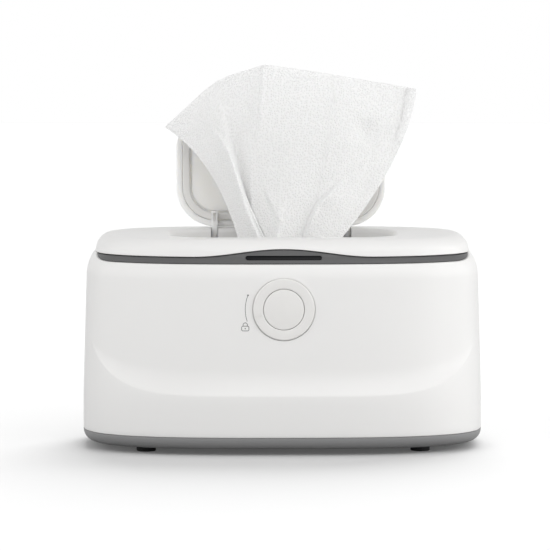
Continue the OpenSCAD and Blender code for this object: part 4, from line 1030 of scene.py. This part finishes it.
# %% Flap helpers
FLAP_OPEN = math.radians(95)
FLAP_PLATE_T = 2.6
FLAP_LIP_H = 5.0
FLAP_LIP_W = 3.8
FLAP_HALF_W = WELL_W / 2 - 3.2
FLAP_HALF_D = WELL_D / 2 - 2.0
FLAP_R = WELL_R - 2.0
FLAP_LOW_Z = TOP_Z - FLAP_LIP_H
PLATE_LOW_Z = TOP_Z - FLAP_PLATE_T
SEAL_GROOVE = 0.15
SEAL_W = 4.4
SEAL_PROUD = 0.7
ARM_LENGTH = 18.4
FLAP_PAD_H = 1.6
FLAP_PAD_IN = FLAP_LIP_W + SEAL_GROOVE + SEAL_W + 1.1
FLAP_REAR = 1.2
FLAP_TOP_R = 1.2
FLAP_PIN_R = 1.1


def open_flap(obj):
    """Turns a mesh that was drawn closed into the open flap's place."""
    pin = Vector((0, FLAP_PIN_Y * MM, FLAP_PIN_Z * MM))
    turn = Matrix.Translation(pin) @ Matrix.Rotation(-FLAP_OPEN, 4, "X") @ Matrix.Translation(-pin)
    obj.data.transform(turn)
    return obj


def flap_row(z, inset):
    """A rounded rectangle whose rear edge reaches a little closer to the pins than its front edge."""
    row = rounded_row(FLAP_HALF_W - inset, FLAP_HALF_D + FLAP_REAR / 2 - inset, FLAP_R - inset, z)
    return row + np.array([0.0, FLAP_REAR / 2, 0.0])


print(f"the flap stands {math.degrees(FLAP_OPEN):.0f} degrees open")


# %% Plate and lip
def flap_rows():
    pad_z = PLATE_LOW_Z - FLAP_PAD_H
    rows = drawn_in(flap_row(pad_z, FLAP_PAD_IN + 0.5), (0.02, 0.3, 0.6, 0.85))
    rows += bend(flap_row, pad_z, FLAP_PAD_IN, 0.5, 0.5, 4)
    rows += [flap_row(PLATE_LOW_Z, FLAP_PAD_IN), flap_row(PLATE_LOW_Z, FLAP_LIP_W + 0.5)]
    rows += bend(flap_row, PLATE_LOW_Z, FLAP_LIP_W, -0.5, 0.5, 3, skip=1)
    rows += bend(flap_row, FLAP_LOW_Z, FLAP_LIP_W, 0.35, -0.35, 3, swap=True)
    rows += bend(flap_row, FLAP_LOW_Z, 0.0, 0.6, 0.6, 4)
    rows += bend(flap_row, TOP_Z, 0.0, -FLAP_TOP_R, FLAP_TOP_R, 6, swap=True)
    return rows + drawn_in(rows[-1], (0.92, 0.6, 0.3, 0.02))


flap = open_flap(skin("flap_plate", flap_rows()))
hand_over(flap, flap_plastic, "flap", "flap")

# %% Arms
ARM_NECK_H = 1.9


def flap_arm(side):
    x = side * ARM_X
    tip_y = FLAP_PIN_Y - ARM_LENGTH
    low_z = FLAP_PIN_Z - EYE_R
    seat_z = PLATE_LOW_Z + 0.3
    rear_y = WELL_D / 2 - 2.0
    eye = [(FLAP_PIN_Y + EYE_R * math.cos(a), FLAP_PIN_Z + EYE_R * math.sin(a))
           for a in np.linspace(-math.pi / 2, math.asin(ARM_NECK_H / EYE_R), 17)]
    shape = eye + [(rear_y - 0.2, FLAP_PIN_Z + ARM_NECK_H), (rear_y - 1.2, seat_z), (tip_y + 2, seat_z),
                   (tip_y, low_z + 1.6), (tip_y + 0.35, low_z + 0.5), (tip_y + 1.2, low_z)]
    arm = skin("flap_arm", [np.array([(x + turn * FLAP_ARM_W / 2, y, z) for y, z in shape])
                            for turn in ARM_SIDES])
    cut(arm, rod("pin_hole", "x", FLAP_PIN_R + 0.07, x - 3, x + 3, (0, FLAP_PIN_Y, FLAP_PIN_Z)),
        block("core", (x - 0.9, tip_y + 1.4, low_z - 1), (x + 0.9, tip_y + 6.4, low_z + 2.4)))
    return round_edges(arm, 0.3, segments=2)


arms = open_flap(join("flap_arms", [flap_arm(side) for side in ARM_SIDES]))
hand_over(arms, flap_plastic, "flap")

# %% Seal
SEAL_SIDE = 0.5
SEAL_EDGE = 0.9
SEAL_NOTCH_GAP = 0.3


def seal_rows():
    """The seal's section has a tighter radius on its outer side than on its inner side."""
    outer = FLAP_LIP_W + SEAL_GROOVE
    inner = outer + SEAL_W
    low = FLAP_LOW_Z - SEAL_PROUD
    return ([flap_row(PLATE_LOW_Z, outer)] + bend(flap_row, low, outer, SEAL_SIDE, SEAL_SIDE, 5, swap=True)
            + bend(flap_row, low, inner, SEAL_EDGE, -SEAL_EDGE, 5) + [flap_row(PLATE_LOW_Z, inner)])


def arm_notch(side):
    low_x, high_x = [side * ARM_X + turn * (FLAP_ARM_W / 2 + SEAL_NOTCH_GAP) for turn in ARM_SIDES]
    return block("notch", (low_x, 0, FLAP_LOW_Z - 2), (high_x, FLAP_HALF_D, TOP_Z))


seal = skin("flap_seal_ring", seal_rows(), closed=True)
cut(seal, *[arm_notch(side) for side in ARM_SIDES])
hand_over(open_flap(seal), seal_rubber, "flap", "flap_seal")

# %% [markdown]
# ## The wipe
# The wipe stands up out of the gate, gathered at its neck and spread at its hem. A net of nine stations
# across the cloth gives its large shape: a curve through the neck, the waist and the hem of each station,
# and smooth curves from station to station, except at the one crisp crease. Smaller folds are then laid over
# it as lines drawn in the front view, each with its own height and width. Each station point is a share of
# the cloth's width, lean and height, so that the cloth can be made bigger or smaller as a whole.

# %% The wipe's large shape
WIPE_T = 0.5
WIPE_H = 115.0
WIPE_W = 152.7
WIPE_NECK_W = 71.0
WIPE_LEAN = 48.0
GATE_SLOT_D = 18.0
NECK_RIGHT = 2.5
NECK_Z = WELL_FLOOR_Z + 8.0
TAIL_Z = WELL_LOW_Z - 4.6
CREASE = 4
NECK = np.array([(-0.395, 0.16), (-0.29, -0.17), (-0.16, -0.30), (-0.21, 0.14), (-0.23, 0.26), (-0.08, -0.24),
                 (0.15, 0.16), (0.29, 0.02), (0.43, 0.16)])
WAIST = np.array([(-0.288, 0.54, 0.44), (-0.245, 0.38, 0.43), (-0.190, 0.23, 0.47), (-0.166, 0.40, 0.45),
                  (-0.124, 0.29, 0.49), (0.030, 0.23, 0.48), (0.180, 0.32, 0.475), (0.318, 0.46, 0.475),
                  (0.442, 0.63, 0.48)])
HEM = np.array([(-0.468, 0.98, 0.668), (-0.378, 0.93, 0.778), (-0.285, 0.83, 0.8895), (-0.210, 0.69, 0.947),
                (-0.068, 0.64, 1.008), (0.079, 0.72, 0.980), (0.229, 0.81, 0.947), (0.380, 0.90, 0.911),
                (0.545, 0.97, 0.874)])


def gathered(wide, deep, z):
    """The stations where the gate gathers the cloth, in shares of the neck's width and depth."""
    return np.stack([NECK[:, 0] * WIPE_NECK_W * wide + NECK_RIGHT, NECK[:, 1] * GATE_SLOT_D * deep,
                     np.full(len(NECK), z)], axis=1)


def cloth_net():
    size = np.array([WIPE_W, WIPE_LEAN, WIPE_H])
    foot = np.array([0, 0, WELL_FLOOR_Z])
    return gathered(0.9, 0.8, TAIL_Z), gathered(1, 1, NECK_Z), WAIST * size + foot, HEM * size + foot


TAIL_PT, NECK_PT, WAIST_PT, HEM_PT = cloth_net()


def cloth_column(k, v):
    """Points of station k; v is below 0 in the tail, 0 at the neck and 1 at the hem."""
    v = v[:, None]
    tail = mix(NECK_PT[k], TAIL_PT[k], -v)
    up = NECK_PT[k] * (1 - v) * (1 - 2 * v) + WAIST_PT[k] * 4 * v * (1 - v) + HEM_PT[k] * v * (2 * v - 1)
    return np.where(v < 0, tail, up)


def cloth_points(columns, v):
    """The whole net: one column of points for each value of u between the stations."""
    result = []
    stations = [cloth_column(k, v) for k in range(len(HEM))]
    for u in np.linspace(0, len(HEM) - 1, columns):
        k = min(len(HEM) - 2, int(u))
        t = u - k
        b, c = stations[k], stations[k + 1]
        a = 2 * b - c if k in (0, CREASE) else stations[k - 1]
        d = 2 * c - b if k + 1 == CREASE or k + 2 == len(HEM) else stations[k + 2]
        result.append(0.5 * (2 * b + (c - a) * t + (2 * a - 5 * b + 4 * c - d) * t ** 2
                             + (3 * b - a - 3 * c + d) * t ** 3))
    return np.array(result)


print("a net of", len(HEM), "stations")

# %% [markdown]
# A fold is a polyline in the front view. Every point of the cloth finds its distance from that line and on
# which side it lies, and moves towards the viewer by a small profile: a rounded ridge, a valley, or a step
# that is high on one side and falls away sharply on the other, as where one layer laps over the next.

# %% Folds laid over the net
def line_distance(points, path):
    """Signed distance in the front view from a polyline, positive on its right, and the share along it."""
    best = np.full(points.shape[:-1], 1e9)
    signed = np.zeros_like(best)
    along = np.zeros_like(best)
    path = np.array(path, dtype=float)
    lengths = np.linalg.norm(np.diff(path, axis=0), axis=1)
    starts = np.concatenate([[0], np.cumsum(lengths)])
    x, z = points[..., 0], points[..., 2]
    for k, (p, q) in enumerate(zip(path[:-1], path[1:])):
        step = q - p
        t = np.clip(((x - p[0]) * step[0] + (z - p[1]) * step[1]) / (step @ step), 0, 1)
        dx, dz = x - p[0] - t * step[0], z - p[1] - t * step[1]
        d = np.hypot(dx, dz)
        nearer = d < best
        best = np.where(nearer, d, best)
        signed = np.where(nearer, d * np.sign(step[0] * dz - step[1] * dx) * -1, signed)
        along = np.where(nearer, (starts[k] + t * lengths[k]) / starts[-1], along)
    return signed, along


def ends(along, start=0.15, stop=0.15):
    """Fades a fold in at its start and out at its end."""
    return smooth((along + 0.02) / start) * smooth((1.02 - along) / stop)


def ridge(points, path, height, width, start=0.2, stop=0.2):
    d, along = line_distance(points, path)
    points[..., 1] -= height * np.exp(-(d / width) ** 2) * ends(along, start, stop)


def lap(points, path, height, reach, edge, start=0.2, stop=0.05):
    """A step: the left side is lifted and fades over reach, the right side drops within edge."""
    d, along = line_distance(points, path)
    left = np.exp(-np.maximum(0, -d) / reach) * (1 - smooth(d / edge))
    points[..., 1] -= height * left * ends(along, start, stop)


def turned(points, path, depth, width):
    """A strip that folds away from the viewer, on the right of a line drawn upwards."""
    d, along = line_distance(points, path)
    points[..., 1] += depth * smooth(d / width) * ends(along, 0.5, 0.01)


print("fold tools ready")

# %% Build the wipe
CLOTH_COLUMNS = 225
CLOTH_V = np.concatenate([np.linspace(-1, 0, 12)[:-1], np.linspace(0, 1, 150)])

cloth = cloth_points(CLOTH_COLUMNS, CLOTH_V)
lap(cloth, [(-12.8, 122.5), (-17, 130.6), (-20.8, 139.8), (-23.2, 147), (-26.3, 156.3), (-29.4, 167.4),
            (-33, 176.6), (-36.7, 182.7), (-41.6, 188.8), (-44.7, 196.2), (-45.3, 207)],
    height=3.0, reach=9.0, edge=3.0, start=0.03, stop=0.5)
lap(cloth, [(-11, 228), (-13.2, 194.4), (-15.9, 174.7), (-19.5, 156.3)], height=1.7, reach=14.0, edge=1.2,
    start=0.02, stop=0.6)
ridge(cloth, [(-26, 160), (-22.4, 148), (-19, 139.5), (-15, 130.5), (-12, 123)], height=-1.6, width=1.2,
      start=0.5, stop=0.01)
ridge(cloth, [(-18.8, 147), (-16.4, 137.8), (-11.9, 129.3), (-8, 121)], height=1.8, width=1.8, start=0.5,
      stop=0.01)
ridge(cloth, [(-24.7, 207.2), (-15, 195.6)], height=-1.2, width=2.4, start=0.6, stop=0.6)
ridge(cloth, [(46, 178), (51, 188), (61, 194)], height=-4.6, width=6.8, start=0.5, stop=0.6)
lap(cloth, [(41, 161), (31.4, 152), (22.2, 144.1), (17.9, 134.9), (13, 122)], height=4.2, reach=10.0, edge=2.2,
    start=0.4, stop=0.01)
ridge(cloth, [(63, 170), (46.7, 147.1), (31.4, 124)], height=-2.8, width=4.5, start=0.4, stop=0.01)
ridge(cloth, [(0.5, 152), (-4.5, 120)], height=1.6, width=2.6, start=0.6, stop=0.01)
lap(cloth, [(-11.5, 160), (-8, 149), (-1, 135), (-4, 121)], height=1.9, reach=6.0, edge=1.6, start=0.4,
    stop=0.01)
HEM_LINE = [(65.0, 172), (73.5, 193.1), (77.3, 212), (78.4, 221)]
turned(cloth, HEM_LINE, depth=-3.6, width=2.8)
ridge(cloth, HEM_LINE, height=-1.3, width=0.9, start=0.5, stop=0.01)


def arc_lengths(points, axis, origin):
    """Real lengths along the net from one of its rows, so that a pattern keeps its scale on the cloth."""
    steps = np.linalg.norm(np.diff(points, axis=axis), axis=2)
    pad = [(0, 0), (0, 0)]
    pad[axis] = (1, 0)
    run = np.cumsum(np.pad(steps, pad), axis=axis)
    return run - np.take(run, [origin], axis=axis)


def cloth_object():
    columns, rows = cloth.shape[:2]
    faces = [(i * rows + j, (i + 1) * rows + j, (i + 1) * rows + j + 1, i * rows + j + 1)
             for i in range(columns - 1) for j in range(rows - 1)]
    mesh = bpy.data.meshes.new("wipe_sheet")
    mesh.from_pydata([tuple(p) for p in cloth.reshape(-1, 3) * MM], [], faces)
    across = arc_lengths(cloth, 0, columns // 2).reshape(-1) * MM
    along = arc_lengths(cloth, 1, 0).reshape(-1) * MM
    layer = mesh.uv_layers.new(name="cloth")
    corner = np.empty(len(mesh.loops), dtype=np.int32)
    mesh.loops.foreach_get("vertex_index", corner)
    layer.data.foreach_set("uv", np.stack([across[corner], along[corner]], axis=1).ravel().astype(np.float32))
    return add_object("wipe_sheet", mesh)


wipe = cloth_object()
thick = wipe.modifiers.new("thickness", "SOLIDIFY")
thick.thickness = WIPE_T * MM
thick.offset = 0.0
apply_modifiers(wipe)

# %% [markdown]
# ## The wipe's material
# A nonwoven wipe is soft white, a little fibrous, and embossed all over with small uneven dimples. The
# dimples and the fibres are a node group that reads the cloth's own map, whose units are metres along the
# cloth. The group gives out a height, how deep a point lies in a dimple, and how dense the fibres are.

# %% The embossed cloth group
DIMPLE_PITCH = 1.65
DIMPLE_REACH = 2.1
DIMPLE_UNEVEN = 0.75
WOBBLE_SCALE = 260.0
WOBBLE = 1.2
FIBRE_SCALE = 1500.0
FIBRE_SHARE = 0.35
CLOTH_WHITE = (0.90, 0.90, 0.895)


def make_embossed_cloth():
    group, given, result = new_group("embossed cloth", {"Pitch": DIMPLE_PITCH * MM, "Fibre Scale": FIBRE_SCALE},
                                     ("Height", "Dimple", "Fibre"))
    uv = add_node(group, "ShaderNodeUVMap", uv_map="cloth").outputs["UV"]
    shift = add_node(group, "ShaderNodeVectorMath",
                     {0: noise(group, uv, WOBBLE_SCALE, 1.0, output="Color"), "Scale": WOBBLE * MM},
                     operation="SCALE")
    place = add_node(group, "ShaderNodeVectorMath", {0: uv, 1: shift.outputs["Vector"]}, operation="ADD")
    cells = add_node(group, "ShaderNodeTexVoronoi",
                     {"Vector": place.outputs["Vector"], "Randomness": DIMPLE_UNEVEN,
                      "Scale": math_node(group, "DIVIDE", 1.0, given["Pitch"])}, voronoi_dimensions="2D")
    far = math_node(group, "MULTIPLY", cells.outputs["Distance"], DIMPLE_REACH)
    near = math_node(group, "SUBTRACT", 1.0, far)
    dimple = add_node(group, "ShaderNodeMapRange", {"Value": near},
                      interpolation_type="SMOOTHSTEP").outputs["Result"]
    fibre = noise(group, uv, given["Fibre Scale"], 4.0)
    height = math_node(group, "ADD", math_node(group, "MULTIPLY", dimple, -1.0),
                       math_node(group, "MULTIPLY", fibre, FIBRE_SHARE))
    feed(group, result, {"Height": height, "Dimple": dimple, "Fibre": fibre})
    return group


def make_cloth_material():
    material, tree, shader = principled("embossed white cloth")
    made = add_node(tree, "ShaderNodeGroup", node_tree=make_embossed_cloth()).outputs
    # Painted shade: the colour is 7 % darker in the dimples, as if shade lay in each recess, besides the bump
    # that shapes them.
    painted_dimple_shade = math_node(tree, "SUBTRACT", 1.0, math_node(tree, "MULTIPLY", made["Dimple"], 0.07))
    tone = math_node(tree, "MULTIPLY", painted_dimple_shade, remap(tree, made["Fibre"], 0.98, 1.0))
    feed(tree, shader, {"Base Color": tinted(tree, CLOTH_WHITE, tone),
                        "Normal": bump(tree, made["Height"], 0.26),
                        "Roughness": remap(tree, made["Fibre"], 0.75, 0.92), "Specular IOR Level": 0.2,
                        "Sheen Weight": 0.15, "Sheen Roughness": 0.5})
    lets_light_in(tree, shader, 0.7, 2.2)
    return material


hand_over(wipe, make_cloth_material(), "lid", "wipe")
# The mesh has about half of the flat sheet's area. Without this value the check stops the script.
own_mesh(wipe)

# %% [markdown]
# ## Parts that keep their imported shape
# The tub, its plate and film, the boards, the pins, hooks and sockets are right as packed. Those that can be
# seen through an opening get a softened copy, and those that stay hidden only get their finish.

# %% Dress the inner parts
for node, material, body_name, slot_name, bevel in (
        ("dispensing_gate", seal_rubber, "lid", "seal_rubber", 0.25),
        ("power_socket", black_plastic, "housing", "black_plastic", 0.2),
        ("button_housing", inner_plastic, "housing", "white_inner", 0.2),
        ("inner_tub", tub_plastic, "housing", "tub_plastic", 0.3),
        ("latch_hook_left", inner_plastic, "lid", "white_inner", 0.2),
        ("latch_hook_right", inner_plastic, "lid", "white_inner", 0.2)):
    dressed(node, material, body_name, bevel)

FINISH_OF = {
    "light_board": board_green, "heat_plate": plate_metal, "heater_film": film_amber,
    "insulation_pad": pad_foam, "temperature_sensor": black_plastic, "thermal_fuse": plate_metal,
    "control_board": board_green, "socket_pin": pin_steel, "wiring": wire_sleeve,
    "lid_liner": inner_plastic, "lid_seal": seal_rubber, "lid_pin_left": pin_steel,
    "lid_pin_right": pin_steel, "flap_pin_left": pin_steel, "flap_pin_right": pin_steel,
    "latch_slide": inner_plastic}
for node, material in FINISH_OF.items():
    mesh = cad_nodes[node].data
    mesh.materials.clear()
    mesh.materials.append(material)
print(len(FINISH_OF), "packed parts painted")

# %% [markdown]
# The button's spring is wound from wire, and it has to shorten when the button is pressed. It is drawn as a
# helix over the packed spring's length.

# %% Wind the button's spring
SPRING_TURNS = 3.5
SPRING_WIRE_R = 0.35


def wound_spring():
    low, high = box_mm("button_spring")
    radius = (high[0] - low[0]) / 2 - SPRING_WIRE_R
    start, stop = low[1] + SPRING_WIRE_R, high[1] - SPRING_WIRE_R
    b = (np.arange(12) * 2 * math.pi / 12)[:, None]
    rows = []
    for t in np.linspace(0, 1, 180):
        a = t * SPRING_TURNS * 2 * math.pi
        out = np.array([math.cos(a), 0.0, math.sin(a)])
        centre = radius * out + np.array([0.0, mix(start, stop, t), DIAL_Z])
        rows.append(centre + SPRING_WIRE_R * (np.cos(b) * out + np.sin(b) * np.array([0.0, 1.0, 0.0])))
    return skin("button_spring_wire", rows), high[1], high[1] - low[1]


spring, spring_end, spring_length = wound_spring()
hand_over(spring, pin_steel, "housing", "button_spring")
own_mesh(spring)
print(f"a spring of {spring_length:.1f} mm")

# %% [markdown]
# ## Stage, light and camera
# The background is plain white, as in a catalogue picture, and the floor keeps only a soft shadow. A key
# light from the front right and above and two side lights, all of them wide and soft, model the rounded
# edges under a sky that is dimmer overhead. Two more lights are kept to one object each: one from behind
# and above lights only the floor, so that the shadow falls in front, and a level one from behind lights
# only the flap, whose thin wall it shines through. The camera looks from far away with a long lens, a
# little from above.

# %% Floor
FLOOR_HALF = 4000
FLOOR_SEEN = 0.60
FLOOR_BOUNCE = 0.40
FLOOR_GLOW = 0.08
WHITE = (1.0, 1.0, 1.0, 1.0)


def camera_rays(tree):
    """1 for what the camera sees directly, 0 for everything else."""
    return add_node(tree, "ShaderNodeLightPath").outputs["Is Camera Ray"]


def make_floor():
    """A pale floor. The camera sees it nearly white, and it throws a little less light back at the object."""
    ground = block("floor", (-FLOOR_HALF, -FLOOR_HALF, -10), (FLOOR_HALF, FLOOR_HALF, 0))
    material, tree, shader = principled("pale floor")
    seen = camera_rays(tree)
    tone = math_node(tree, "MULTIPLY", remap(tree, seen, FLOOR_BOUNCE, FLOOR_SEEN),
                     remap(tree, object_noise(tree, 60.0), 0.99, 1.0))
    glow = math_node(tree, "MULTIPLY", seen, FLOOR_GLOW)
    feed(tree, shader, {"Base Color": tinted(tree, WHITE[:3], tone), "Roughness": 0.9,
                        "Specular IOR Level": 0.1, "Emission Color": WHITE, "Emission Strength": glow})
    ground.data.materials.append(material)
    return ground


floor = make_floor()
print("the floor is", 2 * FLOOR_HALF * MM, "m wide")

# %% World
HORIZON_LIGHT = 0.94
ZENITH_LIGHT = 0.45


def make_world():
    """White where the camera looks past the object. The light that it sheds is dimmer overhead."""
    world = bpy.data.worlds.new("studio")
    bpy.context.scene.world = world
    world.use_nodes = True
    sky = world.node_tree
    shown = sky.nodes["Background"]
    feed(sky, shown, {"Color": WHITE, "Strength": 1.0})
    way = add_node(sky, "ShaderNodeTexCoord").outputs["Generated"]
    up = add_node(sky, "ShaderNodeSeparateXYZ", {"Vector": way}).outputs["Z"]
    shed = add_node(sky, "ShaderNodeBackground",
                    {"Color": WHITE, "Strength": remap(sky, up, HORIZON_LIGHT, ZENITH_LIGHT)})
    choose = add_node(sky, "ShaderNodeMixShader", {"Fac": camera_rays(sky), 1: shed.outputs["Background"],
                                                   2: shown.outputs["Background"]})
    feed(sky, sky.nodes["World Output"], {"Surface": choose.outputs["Shader"]})
    return world


print("world:", make_world().name)

# %% Lamps
def soft_sun(name, toward, strength, spread, only=None):
    """Even light from one direction, soft because its source looks wide. It can be kept to one object."""
    lamp = bpy.data.lights.new(name, "SUN")
    lamp.energy = strength
    lamp.angle = math.radians(spread)
    obj = add_object(name, lamp)
    obj.rotation_euler = Vector(toward).to_track_quat("Z", "Y").to_euler()
    if only is not None:
        lit = bpy.data.collections.new(f"lit by {name}")
        lit.objects.link(only)
        obj.light_linking.receiver_collection = lit


soft_sun("key", (0.28, -0.72, 0.63), 0.66, 50)
soft_sun("right", (0.98, -0.14, 0.08), 1.66, 70)
soft_sun("left", (-0.90, -0.40, 0.12), 1.00, 80)
soft_sun("back", (0.17, 0.72, 0.70), 2.90, 46, only=floor)
soft_sun("behind", (0.10, 0.99, 0.08), 1.5, 40, only=flap)
print("five lamps")

# %% Camera
CAMERA_AT = Vector((-0.0470, -3.0, 0.3385))
LOOK_AT = Vector((-0.0043, 0, 0.1020))

camera = add_object("camera", bpy.data.cameras.new("camera"))
camera.location = CAMERA_AT
camera.rotation_euler = (LOOK_AT - CAMERA_AT).to_track_quat("-Z", "Y").to_euler()
camera.data.lens = 325
camera.data.sensor_width = 36
camera.data.clip_end = 50
bpy.context.scene.camera = camera
bpy.context.scene.view_settings.view_transform = "Standard"
print("camera at", tuple(round(v, 3) for v in camera.location))

# %% [markdown]
# ## Finish

# %% The end
print("the scene is built")
